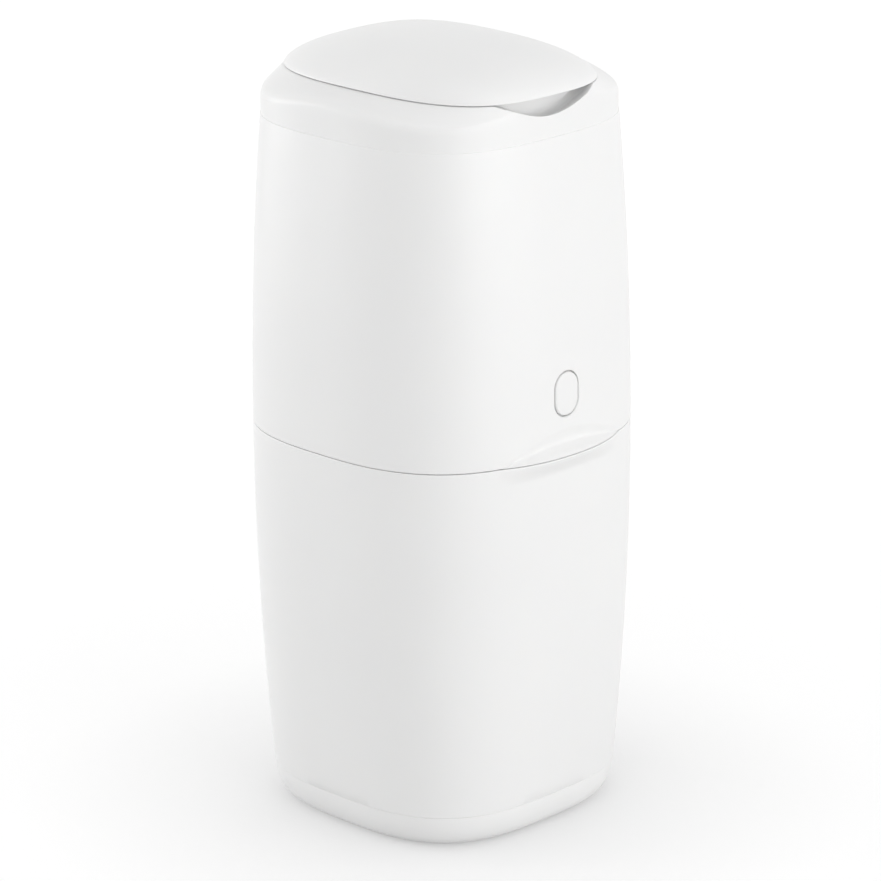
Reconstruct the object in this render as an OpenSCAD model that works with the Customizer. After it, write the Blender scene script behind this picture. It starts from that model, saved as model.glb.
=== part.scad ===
// Nappy bin: a barrel-sided, square-rounded bin in two halves.
// The upper half tilts back on a rear hinge, a push button at the front lets it go,
// and the top lid opens over a film cassette and a pair of spring-shut jaws.
// Origin: centre of the footprint on the floor. +Z up, the front faces -Y.

/* [Body] */
// Width and depth of the body at its widest
body_w = 250; // [244:1:258]
// Height of the widest section
belly_z = 286; // [276:1:296]
// How far each wall draws in at the draw height above and below the belly
draw_in = 13; // [10:0.5:15]
// Distance from the belly at which the wall has drawn in by that much
draw_h = 260; // [250:1:280]
// Corner squareness at the belly, 2 is a circle
corner_mid = 2.75; // [2.6:0.05:3]
// Corner squareness at the foot and at the ledge
corner_end = 3; // [2.8:0.05:3.2]
// Wall of both body shells
wall = 3; // [2.6:0.1:3.2]
// Height of the seam between the two halves
seam_z = 291; // [286:1:296]
// Open gap at the seam
seam_gap = 0.5; // [0.3:0.1:0.8]

/* [Foot] */
// Height of the small step round the foot
step_z = 26; // [22:1:32]
// Depth of that step
step_in = 0.6; // [0.3:0.1:1]
// How far the foot rounds in below the step
foot_in = 12.4; // [9:0.1:14]
// Thickness of the floor of the base
floor_t = 3; // [2.5:0.1:4]
// Thickness of the rubber foot pads
pad_t = 1.5; // [1:0.1:2]
// Radius of a foot pad
pad_r = 9; // [7:0.5:11]
// Distance of each pad from the centre along X and along Y
pad_at = 66; // [58:1:70]

/* [Shoulder and lid] */
// Height of the ledge where the collar starts
ledge_z = 520; // [514:1:526]
// Setback of the collar at the ledge
ledge_step = 0.8; // [0.4:0.1:1.2]
// Height of the collar's rim, where the lid closes
rim_z = 549; // [546:1:553]
// Half of the lid's width
lid_hx = 84.5; // [84.5:0.5:88]
// Half of the lid's depth
lid_hy = 113; // [110:0.5:113]
// Fullness of the shoulder over the middle of each side, 2 is an ellipse
shoulder_side = 3.6; // [3:0.1:4]
// Fullness of the shoulder at the corners
shoulder_corner = 1.7; // [1.5:0.1:2]
// Height of the deck inside the rim
deck_z = 540; // [538:1:541]
// Rise of the lid above its rim
lid_rise = 26.5; // [24:0.5:30]
// Wall of the lid
lid_wall = 2.5; // [2:0.1:3]
// Gap between rim and lid
lid_gap = 0.8; // [0.5:0.1:1]
// Width of the finger scoop at the rim
scoop_w = 118; // [110:1:122]
// How far the middle of the scoop lies left of the bin's middle
scoop_left = 4; // [0:0.5:5]
// Depth of the scoop below the rim, at the outside
scoop_dip = 13; // [11:0.5:14]
// Depth of the scoop below the rim, at its back
scoop_deep = 18; // [16:0.5:19]
// How far the back of the scoop lies behind the lid's front edge
scoop_reach = 14; // [12:0.5:15]

/* [Grip at the seam] */
// Width of the finger dish
grip_w = 124; // [110:1:130]
// Height of the dish above the seam
grip_h = 19; // [17:0.5:21]
// How deep the dish goes
grip_dish = 2.8; // [2:0.1:3.4]
// How far the lip under the dish stands out
grip_lip = 7.5; // [5:0.5:8]
// Height over which the lip fades below the seam
grip_fade = 14; // [10:0.5:18]

/* [Rear hinge] */
// Distance of the hinge axis inside the widest outside face
hinge_in = 0.5; // [0:0.1:1]
// Radius of the hinge barrel
barrel_r = 6.5; // [6:0.1:7]
// Radius of the hinge pin
hinge_pin_r = 2.5; // [2:0.1:3]
// Half of the hinge's length
hinge_half = 55; // [50:1:58]
// Gap between neighbouring knuckles
knuckle_gap = 0.5; // [0.4:0.1:0.8]
// Radial clearance of every pin in the piece that turns on it
run_fit = 0.06; // [0.04:0.01:0.08]

/* [Lid hinge] */
// Distance of the lid's axis inside the lid's rear edge
lid_pivot_in = 5.5; // [5:0.1:6]
// Depth of the lid's axis below the rim
lid_pivot_drop = 2; // [1.5:0.1:2.5]
// Radius of the lid's hinge barrel
lid_barrel_r = 5; // [4.6:0.1:5.2]
// Radius of the lid's hinge pin
lid_pin_r = 1.8; // [1.5:0.1:2]
// Half length of the lid's own knuckle
lid_knuckle = 24; // [21:0.5:26]
// Half length of the whole lid hinge
lid_hinge_half = 41; // [38:0.5:42]

/* [Button and latch] */
// Height of the button's centre
button_z = 334.5; // [330:0.5:340]
// Width of the button
button_w = 23; // [20:0.1:25]
// Height of the button
button_h = 32; // [29:0.1:34]
// Gap round the button
button_gap = 1.1; // [0.8:0.1:1.3]
// How far the button stands out
button_proud = 1; // [0.6:0.1:1.2]
// Travel of the button
button_travel = 3.2; // [2.8:0.1:3.4]
// Height of the button above the latch pin
latch_drop = 18.5; // [17:0.5:20]
// Radius of the latch pin
latch_pin_r = 2; // [1.8:0.1:2.2]
// How far the bar of the keeper lies below the seam
keeper_drop = 4; // [3.5:0.1:5]
// Thickness of the keeper's bar
keeper_t = 3.6; // [3:0.1:4]

/* [Cassette and jaws] */
// Inner radius of the cassette cradle
cradle_r = 76.6; // [76:0.1:76.6]
// Inside depth of the cradle
cradle_h = 53.5; // [50:0.5:56]
// Radius of the throat
throat_r = 48; // [46:0.5:48]
// Height of the cassette
cassette_h = 44; // [40:0.5:46]
// Inner radius of the cassette
cassette_in = 50.5; // [50.5:0.1:52]
// Play between the cassette and the cradle
cassette_play = 0.7; // [0.5:0.1:1]
// Half of the inside width of the jaw box
box_half = 50; // [49:0.5:52]
// Depth of the jaw box below its flange
box_h = 46; // [42:0.5:50]
// Distance of each jaw's axle from the centre
jaw_axle_x = 45; // [44:0.5:45]
// Depth of the axles below the jaw box flange
axle_drop = 20; // [18:0.5:22]
// Radius of a jaw axle
axle_r = 2; // [1.8:0.1:2.2]
// Radius of the jaw's hub
hub_r = 4.2; // [4:0.1:4.4]
// How far the closed jaws dip towards the middle
jaw_dip = 11; // [9:0.5:13]

/* [Hidden] */
$fn = 48;
// Points round every loft of the body
sides = 56;
// Seat gap between pieces that only rest against each other
seat = 0.3;
// Jaws: free edge from the middle, thickness, height over the axle, end play
jaw_edge = 2.6;
jaw_t = 2.6;
jaw_rise = 2.8;
jaw_play = 1.2;
// Half gap between the hubs, half length of the cut for the spring, ribs, lip
hub_gap = 13;
spring_gap = 12.5;
rib_h = 3.2;
rib_t = 2;
rib_at = 31;
lip_gap = 0.15;
// A little more than nothing, for cuts that run clear
eps = 0.01;
shell_col = [0.955, 0.955, 0.95];
inner_col = [0.9, 0.91, 0.92];
steel_col = [0.72, 0.73, 0.75];
rubber_col = [0.35, 0.36, 0.38];
film_col = [0.82, 0.86, 0.9];

hinge_y = body_w / 2 - hinge_in;
lid_pivot_y = lid_hy - lid_pivot_in;
scoop_back = lid_hy - scoop_reach;
lid_pivot_z = rim_z - lid_pivot_drop;
tub_top = seam_z - seam_gap / 2;
body_bottom = seam_z + seam_gap / 2;
collar_h0 = half_at(ledge_z) - ledge_step;
rim_wall = 3;
// Share of its width by which the scoop narrows towards its back, its wall
scoop_taper = 0.16;
scoop_wall = 3;
// Room beside the lid's hinge for its rear edge, which swings down as it opens
edge_room = 6;
rebate_r = cradle_r + 4.7;
cradle_wall = 2;
flange_t = 2;
well_r = cradle_r + cradle_wall + 0.5;
deck_t = 5;
cradle_floor = deck_z - cradle_h;
cradle_under = cradle_floor - 2.5;
box_top = cradle_under;
box_bottom = box_top - box_h;
axle_z = box_top - axle_drop;
box_wall = 2.5;
// Flange of the jaw box and how far it stands out
flange_b = 2.5;
ear = 8;
// Skirt of the collar, inside the top of the upper half
skirt_h = 12;
skirt_t = 2.4;
// How far the collar's underside steps in from the ledge, and its slope
shelf_in = 6;
shelf_drop = 4;
// Screws: head, shank and the holes for them
head_r = 3;
shank_r = 1.5;
hole_r = 1.6;
bore_r = 1.55;
// Distances of the small round parts
small_play = 0.1;
// Distance from the centre to the inside of the wall behind the button
wall_in = half_at(button_z) - wall;
latch_z = button_z - latch_drop;
// Depth of the hook's pin, and of the keeper's bar, behind that wall
pin_depth = 19.5;
latch_y = -wall_in + pin_depth;
bar_front = 22.8;
bar_back = 28;
// Keeper: half widths of plate and bar, thickness, place of its plate below the seam
keeper_half = 20;
keeper_bar_half = 16;
keeper_plate_t = 2.5;
keeper_low = 36;
keeper_high = 17;
keeper_at = 26;
keeper_screw_x = 9;
keeper_screw_l = 4;
pad_grow = 0.8;
// Bracket: half size, place of its screws, bosses, and its two cheeks
bracket_half = 26;
bracket_at = 21;
boss_r = 4;
bracket_screw_l = 8;
cheek_x = 9.4;
cheek_t = 2.8;
cheek_drop = 7.5;
cheek_rise = 12;
cheek_r = 5;
// Button: stem, its thin tip, flange overlap and rounded edge
stem_r = 5;
tip_r = 2;
tip_end = 18.5;
flange_over = 2.5;
button_round = 1.2;
// Hook: half width, hub, lever and arm, tooth
hook_half = 8;
hook_hub_r = 4.5;
hook_hub_half = 8.8;
lever_face = 18.8;
lever_rise = 6;
lever_t = 3.4;
arm_front = 17.5;
arm_back = 21.5;
tooth_gap = 0.4;
tooth_h = 3.5;
tooth_reach = 5.5;
hook_slot = 3.2;
// Lid: place of the screws of its liner, as shares of its half sizes
lid_screw_x = lid_hx * 0.535;
lid_screw_y = lid_hy * 0.527;
lid_boss_r = 4;
lid_shank_r = 1.4;
lid_shank_l = 7;
flange_d = 0.6;
flange_th = 2;
// Length of the button's spring when its coils touch
spring_solid = 4;
plate_front = flange_d + flange_th + button_travel + spring_solid + 0.2;
plate_t = 2.5;
bar_top = seam_z - keeper_drop;
bar_bottom = bar_top - keeper_t;
lid_z = rim_z + lid_gap;

// Blends a into b as t goes from 0 to 1.
function mix(a, b, t) = a + (b - a) * t;
// The same with a soft start and end.
function soft(t) = (1 - cos(180 * t)) / 2;
// Half width of the body at a height.
function half_at(z) = body_w / 2 - draw_in * pow((z - belly_z) / draw_h, 2);
// Squareness of the section at a height.
function corner_at(z) = corner_mid
    + (corner_end - corner_mid) * pow((z - belly_z) / draw_h, 2);
// Point at angle a of a rounded square with half sizes hx and hy at height z.
function ring_point(a, hx, hy, n, z) = let (
        k = pow(pow(abs(cos(a)), n) + pow(abs(sin(a)), n), -1 / n))
    [hx * k * cos(a), hy * k * sin(a), z];
// The whole rounded square.
function ring(hx, hy, n, z) = [for (i = [0:sides - 1])
    ring_point(i * 360 / sides, hx, hy, n, z)];
// How far the front stands out (+) or in (-) round the grip, at place x and height z.
function swell(x, z) = let (
        fit = max(0, 1 - pow(2 * x / grip_w, 2)),
        below = (seam_z - z) / grip_fade,
        up = (z - seam_z) / (grip_h * max(fit, 0.02)))
    fit == 0 ? 0
    : below > 0 ? (below < 1 ? grip_lip * fit * (1 - soft(below)) : 0)
    : up < 0.5 ? fit * mix(grip_lip, -grip_dish, soft(up / 0.5))
    : up < 1 ? -fit * grip_dish * soft((1 - up) / 0.5) : 0;
// Section of the body at a height, inset from the outside, with the grip worked in.
function body_ring(z, inset) = [for (p = ring(half_at(z) - inset, half_at(z) - inset,
        corner_at(z), z)) p[1] < 0 ? [p[0], p[1] - swell(p[0], z), z] : p];
// How far the shoulder has come in, and up, at u for a fullness p.
function shoulder_in(u, p) = 1 - pow(cos(90 * u), 2 / p);
function shoulder_up(u, p) = pow(sin(90 * u), 2 / p);
// Section of the shoulder, u runs from the ledge (0) to the rim (1). It stands nearly
// upright over the sides and slopes more at the corners.
function shoulder_ring(u, inset) = [for (i = [0:sides - 1]) let (
        a = i * 360 / sides,
        side = pow(cos(2 * a), 2),
        b = mix(shoulder_in(u, shoulder_corner), shoulder_in(u, shoulder_side), side),
        h = mix(shoulder_up(u, shoulder_corner), shoulder_up(u, shoulder_side), side))
    ring_point(a, mix(collar_h0, lid_hx, b) - inset, mix(collar_h0, lid_hy, b) - inset,
        corner_end, mix(ledge_z, rim_z, h))];
// Section of the lid's dome, s runs from the rim (1) to the middle (0).
function dome_ring(s, inset) = ring((lid_hx - inset) * s, (lid_hy - inset) * s,
    mix(2.3, corner_end, s), lid_z + (lid_rise - inset) * pow(1 - pow(s, 2.2), 0.62));

// Solid through a stack of rings: closed at both ends, or joined into a loop.
module loft(rings, loop = false) {
    count = len(rings);
    size = len(rings[0]);
    last = loop ? count - 1 : count - 2;
    sheets = [for (i = [0:last], j = [0:size - 1])
        let (i2 = (i + 1) % count, j2 = (j + 1) % size,
            a = i * size + j, b = i2 * size + j,
            c = i2 * size + j2, d = i * size + j2)
        each [[a, b, c], [a, c, d]]];
    bottom = [[for (j = [0:size - 1]) j]];
    top = [[for (j = [0:size - 1]) (count - 1) * size + size - 1 - j]];
    polyhedron(points = [for (r = rings) each r],
        faces = loop ? sheets : concat(bottom, sheets, top), convexity = 8);
}

// Cylinder along X between two places.
module rod_x(r, x0, x1) {
    translate([x0, 0, 0]) rotate([0, 90, 0]) cylinder(r = r, h = x1 - x0);
}

// Cylinder along Y between two places.
module rod_y(r, y0, y1) {
    translate([0, y1, 0]) rotate([90, 0, 0]) cylinder(r = r, h = y1 - y0);
}

// Block given by its low and high corners.
module block(low, high) {
    translate(low) cube(high - low);
}

// Upright outline with round ends, width w and height h.
module pill(w, h) {
    translate([0, (h - w) / 2]) circle(d = w);
    translate([0, -(h - w) / 2]) circle(d = w);
    square([w, h - w], center = true);
}

// That outline as a solid along Y.
module pill_y(w, h, y0, y1) {
    translate([0, y1, 0]) rotate([90, 0, 0]) linear_extrude(y1 - y0) pill(w, h);
}

// Outline in the YZ plane as a solid between two places along X.
module profile_x(points, x0, x1) {
    translate([x0, 0, 0]) rotate([90, 0, 90]) linear_extrude(x1 - x0) polygon(points);
}

// Coil spring along Z from 0 to h, one unbroken wire with flat ends.
module coil(mean_r, wire_r, turns, h) {
    per_turn = 8;
    wire_sides = 6;
    steps = turns * per_turn;
    points = [for (i = [0:steps], k = [0:wire_sides - 1])
        let (a = i * 360 / per_turn, b = k * 360 / wire_sides,
            r = mean_r + wire_r * cos(b))
        [r * cos(a), r * sin(a), mix(wire_r, h - wire_r, i / steps) + wire_r * sin(b)]];
    skin = [for (i = [0:steps - 1], k = [0:wire_sides - 1])
        let (k2 = (k + 1) % wire_sides,
            a = i * wire_sides + k, b = (i + 1) * wire_sides + k,
            c = (i + 1) * wire_sides + k2, d = i * wire_sides + k2)
        each [[a, b, c], [a, c, d]]];
    start = [[for (k = [0:wire_sides - 1]) k]];
    end = [[for (k = [0:wire_sides - 1]) steps * wire_sides + wire_sides - 1 - k]];
    polyhedron(points = points, faces = concat(start, skin, end), convexity = 8);
}

// Pan-head screw standing on z = 0 with its shank going down.
module screw(head_r, shank_r, shank_l) {
    rotate_extrude() polygon([[0, -shank_l], [shank_r, -shank_l], [shank_r, 0],
        [head_r, 0], [head_r, head_r * 0.35], [head_r * 0.7, head_r * 0.6],
        [0, head_r * 0.6]]);
}

// Thickening inside the shell round the barrel, below or above the seam.
module hinge_trough(below) {
    low = below ? seam_z - barrel_r - 6 : body_bottom;
    high = below ? tub_top : seam_z + barrel_r + 6;
    intersection() {
        translate([0, hinge_y, seam_z])
            rod_x(barrel_r + 3.4, -hinge_half - 3, hinge_half + 3);
        block([-hinge_half - 4, hinge_y - 14, low], [hinge_half + 4, hinge_y - 1.5, high]);
    }
}

// Room for the barrel in both shells.
module hinge_room() {
    translate([0, hinge_y, seam_z])
        rod_x(barrel_r + 0.6, -hinge_half - knuckle_gap, hinge_half + knuckle_gap);
}

// One knuckle with the web that carries it, up or down.
module knuckle(x0, x1, up) {
    web = barrel_r + 5;
    translate([0, hinge_y, seam_z]) {
        rod_x(barrel_r, x0, x1);
        block([x0, -barrel_r, up ? 0 : -web], [x1, -1.5, up ? web : 0]);
    }
}

// Bores through the knuckles of both halves.
module hinge_bore(clear) {
    translate([0, hinge_y, seam_z])
        rod_x(hinge_pin_r + clear, -hinge_half - 1, hinge_half + 1);
}

// Lower half: the tub that the waste drops into.
module base_tub() {
    foot_top = step_z - step_in;
    foot_half = half_at(step_z) - step_in;
    outer_z = concat([for (k = [0:4]) mix(step_z, seam_z - grip_fade, k / 4)],
        [seam_z - grip_fade * 0.64, seam_z - grip_fade * 0.36, tub_top]);
    inner_z = [for (k = [len(outer_z) - 1:-1:0]) outer_z[k]];
    rings = concat(
        [for (k = [0:5]) let (a = 18 * k,
                h = foot_half - foot_in * (1 - sin(a)))
            ring(h, h, corner_end, mix(pad_t, foot_top, 1 - cos(a)))],
        [for (z = outer_z) body_ring(z, 0)],
        [for (z = inner_z) body_ring(z, wall)],
        [for (k = [1:3]) let (a = 30 * k, h = foot_half - wall - foot_in * (1 - cos(a)))
            ring(h, h, corner_end, mix(step_z * 0.69, pad_t + floor_t, sin(a)))]);
    color(shell_col) difference() {
        union() {
            loft(rings);
            hinge_trough(true);
            keeper_pad();
            rim_tongue();
        }
        hinge_room();
        for (x = [-keeper_screw_x, keeper_screw_x])
            translate([x, keeper_wall(), seam_z - keeper_at])
                rod_y(bore_r, -wall / 2, keeper_screw_l);
    }
    color(shell_col) difference() {
        for (span = base_knuckles()) knuckle(span[0], span[1], false);
        hinge_bore(0);
    }
}

// Places of the knuckles of the lower half, and of the upper half between them.
function base_knuckles() = [[-hinge_half, -hinge_half + 17], [-8, 8],
    [hinge_half - 17, hinge_half]];
function upper_knuckles() = [[-hinge_half + 17 + knuckle_gap, -8 - knuckle_gap],
    [8 + knuckle_gap, hinge_half - 17 - knuckle_gap]];

// Place of the inside of the front wall at the keeper.
function keeper_wall() = -half_at(seam_z - keeper_at) + wall;

// Flat pad inside the front wall for the keeper.
module keeper_pad() {
    y = keeper_wall();
    block([-keeper_half - 2, y - wall / 3, seam_z - keeper_low - 1],
        [keeper_half + 2, y + pad_grow, seam_z - keeper_high + 1]);
}

// Tongues at both sides that centre the upper half.
module rim_tongue() {
    root = grip_fade;
    rise = 8;
    thick = 2;
    fit = wall + 0.6;
    half_length = body_w * 0.24;
    intersection() {
        difference() {
            loft([body_ring(seam_z - root, wall - 0.5), body_ring(tub_top - 2, wall - 0.5),
                body_ring(tub_top - 1.9, fit), body_ring(seam_z + rise, fit)]);
            loft([body_ring(seam_z - root - 1, fit + thick),
                body_ring(seam_z + rise + 1, fit + thick)]);
        }
        block([-body_w, -half_length, 0], [body_w, half_length, ledge_z]);
    }
}

// Four rubber pads under the base.
module foot_pads() {
    color(rubber_col) for (x = [-1, 1], y = [-1, 1])
        translate([x * pad_at, y * pad_at, 0])
            rotate_extrude() polygon([[0, 0], [pad_r - pad_t / 3, 0],
                [pad_r, pad_t / 3], [pad_r, pad_t], [0, pad_t]]);
}

// Bracket inside the base whose bar the hook catches.
module latch_keeper() {
    y0 = keeper_wall() + pad_grow;
    plate_y = y0 + keeper_plate_t;
    front = -wall_in + bar_front;
    back = -wall_in + bar_back;
    arm_low = seam_z - keeper_at - 4;
    arms = [[y0, arm_low], [plate_y, arm_low], [back, bar_bottom], [back, bar_top],
        [plate_y + 6, bar_top], [y0, seam_z - keeper_high]];
    color(steel_col) difference() {
        union() {
            block([-keeper_half, y0, seam_z - keeper_low],
                [keeper_half, plate_y, seam_z - keeper_high]);
            for (x = [-keeper_bar_half, keeper_bar_half - keeper_plate_t])
                profile_x(arms, x, x + keeper_plate_t);
            block([-keeper_bar_half, front, bar_bottom], [keeper_bar_half, back, bar_top]);
        }
        for (x = [-keeper_screw_x, keeper_screw_x])
            translate([x, y0, seam_z - keeper_at]) rod_y(hole_r, -1, keeper_plate_t + 1);
    }
}

// Two screws that hold the keeper.
module keeper_screws() {
    y = keeper_wall() + pad_grow + keeper_plate_t;
    color(steel_col) for (x = [-keeper_screw_x, keeper_screw_x])
        translate([x, y, seam_z - keeper_at]) rotate([-90, 0, 0])
            screw(head_r, shank_r, keeper_screw_l);
}

// Long pin of the rear hinge.
module body_hinge_pin() {
    color(steel_col) translate([0, hinge_y, seam_z])
        rod_x(hinge_pin_r, -hinge_half, hinge_half);
}

// Places of the four bosses and screws of the bracket, from the button's centre.
function bracket_spots() = [for (x = [-bracket_at, bracket_at],
    z = [-bracket_at, bracket_at]) [x, z]];

// Upper half: the barrel that tilts back.
module upper_body() {
    grip_top = seam_z + grip_h + 0.5;
    up = concat([body_bottom, for (k = [1:4]) seam_z + grip_h * 0.2 * k],
        [for (k = [0:4]) mix(grip_top, ledge_z, k / 4)]);
    down = [for (i = [len(up) - 1:-1:0]) up[i]];
    rings = concat([for (z = up) body_ring(z, 0)], [for (z = down) body_ring(z, wall)]);
    color(shell_col) difference() {
        union() {
            loft(rings, loop = true);
            hinge_trough(false);
            for (p = bracket_spots()) translate([p[0], 0, button_z + p[1]])
                rod_y(boss_r, -wall_in - wall * 0.47, -wall_in + plate_front);
        }
        hinge_room();
        translate([0, 0, button_z]) pill_y(button_w + 2 * button_gap,
            button_h + 2 * button_gap, -body_w / 2 - 5, -wall_in + 2);
        for (p = bracket_spots()) translate([p[0], 0, button_z + p[1]])
            rod_y(bore_r, -wall_in + 2, -wall_in + plate_front + 1);
    }
    color(shell_col) difference() {
        for (span = upper_knuckles()) knuckle(span[0], span[1], true);
        hinge_bore(run_fit);
    }
}

// Bracket behind the button: guides its stem and carries the hook.
module latch_bracket() {
    y0 = -wall_in + plate_front;
    y1 = y0 + plate_t;
    back = latch_y + cheek_r;
    cheek = [[y0, latch_z - cheek_drop], [back, latch_z - cheek_r],
        [back, latch_z + cheek_r], [y1, latch_z + cheek_rise], [y0, latch_z + cheek_rise]];
    color(inner_col) difference() {
        union() {
            block([-bracket_half, y0, button_z - bracket_half],
                [bracket_half, y1, button_z + bracket_half]);
            for (x = [-cheek_x - cheek_t, cheek_x]) profile_x(cheek, x, x + cheek_t);
        }
        translate([0, 0, button_z]) rod_y(stem_r + run_fit, y0 - 1, y1 + 1);
        translate([0, latch_y, latch_z])
            rod_x(latch_pin_r, -cheek_x - cheek_t - 1, cheek_x + cheek_t + 1);
        for (p = bracket_spots()) translate([p[0], 0, button_z + p[1]])
            rod_y(hole_r, y0 - 1, y1 + 1);
        block([-cheek_x, y0 - 1, button_z - bracket_half - 20],
            [cheek_x, y1 + 1, latch_z + 4]);
    }
}

// Four screws through the bracket into the bosses of the upper half.
module bracket_screws() {
    color(steel_col) for (p = bracket_spots())
        translate([p[0], -wall_in + plate_front + plate_t, button_z + p[1]])
            rotate([-90, 0, 0]) screw(head_r, shank_r, bracket_screw_l);
}

// Pin that the hook turns on.
module latch_pin() {
    reach = cheek_x + cheek_t + 0.8;
    color(steel_col) translate([0, latch_y, latch_z]) rod_x(latch_pin_r, -reach, reach);
}

// Front button with its stem and the flange that keeps it in.
module release_button() {
    face = -half_at(button_z) - button_proud;
    flange = -wall_in + flange_d;
    tip = -wall_in + tip_end;
    color(shell_col) translate([0, 0, button_z]) {
        pill_y(button_w, button_h, face + button_round, flange + 1);
        for (k = [0:3]) let (a = 22.5 * k, b = 22.5 * (k + 1))
            pill_y(button_w - 2 * button_round * (1 - cos(a)),
                button_h - 2 * button_round * (1 - cos(a)),
                face + button_round * (1 - sin(b)),
                face + button_round * (1 - sin(a)) + eps);
        pill_y(button_w + 2 * flange_over, button_h + 2 * flange_over, flange,
            flange + flange_th);
        rod_y(stem_r, flange, -wall_in + plate_front + plate_t + 1.5);
        rotate([-90, 0, 0]) rotate_extrude()
            polygon([[0, flange], [tip_r, flange], [tip_r, tip - tip_r * 0.75],
                [tip_r * 0.6, tip - tip_r * 0.15], [0, tip]]);
    }
}

// Coil spring round the stem.
module button_spring() {
    mean_r = stem_r + 2;
    wire_r = 0.5;
    turns = 3;
    low = -wall_in + flange_d + flange_th + small_play;
    high = -wall_in + plate_front - small_play;
    color(steel_col) translate([0, low, button_z])
        rotate([-90, 0, 0]) coil(mean_r, wire_r, turns, high - low);
}

// Hook that holds the upper half down.
module latch_hook() {
    face = -wall_in + lever_face;
    arm0 = -wall_in + arm_front;
    arm1 = -wall_in + arm_back;
    tooth_top = bar_bottom - tooth_gap;
    tooth_low = tooth_top - tooth_h;
    tooth_tip = arm1 + tooth_reach;
    lever = [[face, latch_z], [face, button_z + lever_rise - 1],
        [face + 1.5, button_z + lever_rise], [face + lever_t, button_z + lever_rise],
        [arm1 + 1.5, latch_z]];
    arm = [[arm0, latch_z], [arm0, tooth_low + 2], [arm0 + 2, tooth_low],
        [arm1 + 2, tooth_low], [tooth_tip, tooth_top - 1], [tooth_tip, tooth_top],
        [arm1, tooth_top], [arm1, latch_z]];
    color(steel_col) difference() {
        union() {
            translate([0, latch_y, latch_z])
                rod_x(hook_hub_r, -hook_hub_half, hook_hub_half);
            profile_x(lever, -hook_half, hook_half);
            profile_x(arm, -hook_half, hook_half);
        }
        translate([0, latch_y, latch_z])
            rod_x(latch_pin_r + run_fit, -hook_hub_half - 1, hook_hub_half + 1);
        block([-hook_slot, latch_y - hook_half, latch_z - hook_hub_r - 0.7],
            [hook_slot, latch_y + hook_half, latch_z + hook_hub_r + 0.7]);
    }
}

// Coil of the hook's return spring, round its pin.
module latch_spring() {
    long = 2 * (hook_slot - 0.4);
    mean_r = latch_pin_r + 1.2;
    wire_r = 0.5;
    turns = 4;
    color(steel_col) translate([-long / 2, latch_y, latch_z])
        rotate([0, 90, 0]) coil(mean_r, wire_r, turns, long);
}

// Dish that the fingers reach into under the front of the lid.
module scoop_room(grow) {
    back = scoop_back - grow;
    round_r = 4;
    floor_run = lid_hy - scoop_back - round_r;
    corner = [for (k = [0:2]) let (a = 45 * k)
        [back + round_r * (1 - cos(a)), scoop_deep - round_r * (1 - sin(a))]];
    slope = [for (k = [1:3]) let (t = k / 3)
        [back + round_r + floor_run * t, mix(scoop_deep, scoop_dip, soft(t))]];
    stations = concat([[back - 1, -6]], corner, slope, [[lid_hy + 20, scoop_dip]]);
    loft([for (s = stations) let (
            share = min(1, 1 - scoop_taper * (lid_hy - s[0]) / scoop_reach))
        scoop_outline(-s[0], scoop_w * share + 2 * grow, s[1] + grow)]);
}

// Outline of the scoop's room at place y: its floor from side to side, then its top
// above the rim.
function scoop_outline(y, w, depth) = let (over = 0.5, count = 22) concat(
    [for (k = [0:count]) let (x = w * (k / count - 0.5))
        [x - scoop_left, y, rim_z + over - (depth + over) * pow(1 - pow(2 * x / w, 2), 2)]],
    [[w / 2 - scoop_left, y, rim_z + 10], [-w / 2 - scoop_left, y, rim_z + 10]]);

// Shoulder of the upper half, with the rim, the deck and the lid's hinge seat.
module top_collar() {
    skirt = half_at(ledge_z) - wall - seat;
    corner = corner_at(ledge_z);
    rings = concat(
        [for (k = [0:7]) shoulder_ring(k / 7, 0)],
        [ring(lid_hx - rim_wall, lid_hy - rim_wall, corner_end, rim_z),
        ring(lid_hx - rim_wall, lid_hy - rim_wall, corner_end, deck_z),
        ring(well_r, well_r, 2, deck_z),
        ring(well_r, well_r, 2, deck_z - deck_t),
        ring(collar_h0 - shelf_in, collar_h0 - shelf_in, corner_end,
            deck_z - deck_t - shelf_drop),
        ring(skirt - skirt_t, skirt - skirt_t, corner, ledge_z),
        ring(skirt - skirt_t, skirt - skirt_t, corner, ledge_z - skirt_h),
        ring(skirt, skirt, corner, ledge_z - skirt_h),
        ring(skirt, skirt, corner, ledge_z)]);
    seat_top = lid_pivot_z - lid_barrel_r - 0.8;
    color(shell_col) difference() {
        union() {
            loft(rings, loop = true);
            intersection() {
                scoop_room(scoop_wall);
                loft([for (k = [0:7]) shoulder_ring(k / 7, 1)]);
                block([-scoop_w, -lid_hy - 5, rim_z - scoop_deep - 4],
                    [scoop_w, -scoop_back + 5, rim_z - 0.7]);
            }
        }
        scoop_room(0);
        translate([0, 0, deck_z - flange_t]) cylinder(r = rebate_r, h = 20, $fn = 96);
        block([-lid_hinge_half - 0.8, lid_pivot_y - lid_barrel_r - 2.5, seat_top],
            [lid_hinge_half + 0.8, lid_hy + 5, rim_z + 1]);
        block([-lid_hinge_half - edge_room, lid_pivot_y + 2, lid_pivot_z - 2.5],
            [lid_hinge_half + edge_room, lid_hy + 5, rim_z + 1]);
    }
    color(shell_col) difference() {
        for (s = [-1, 1]) mirror([s < 0 ? 1 : 0, 0, 0])
            translate([0, lid_pivot_y, lid_pivot_z]) {
                rod_x(lid_barrel_r, lid_knuckle + knuckle_gap, lid_hinge_half);
                block([lid_knuckle + knuckle_gap, -lid_barrel_r, deck_z - lid_pivot_z - 1],
                    [lid_hinge_half, lid_barrel_r - 1.5, 0]);
            }
        translate([0, lid_pivot_y, lid_pivot_z])
            rod_x(lid_pin_r, -lid_hinge_half - 1, lid_hinge_half + 1);
    }
}

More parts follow.
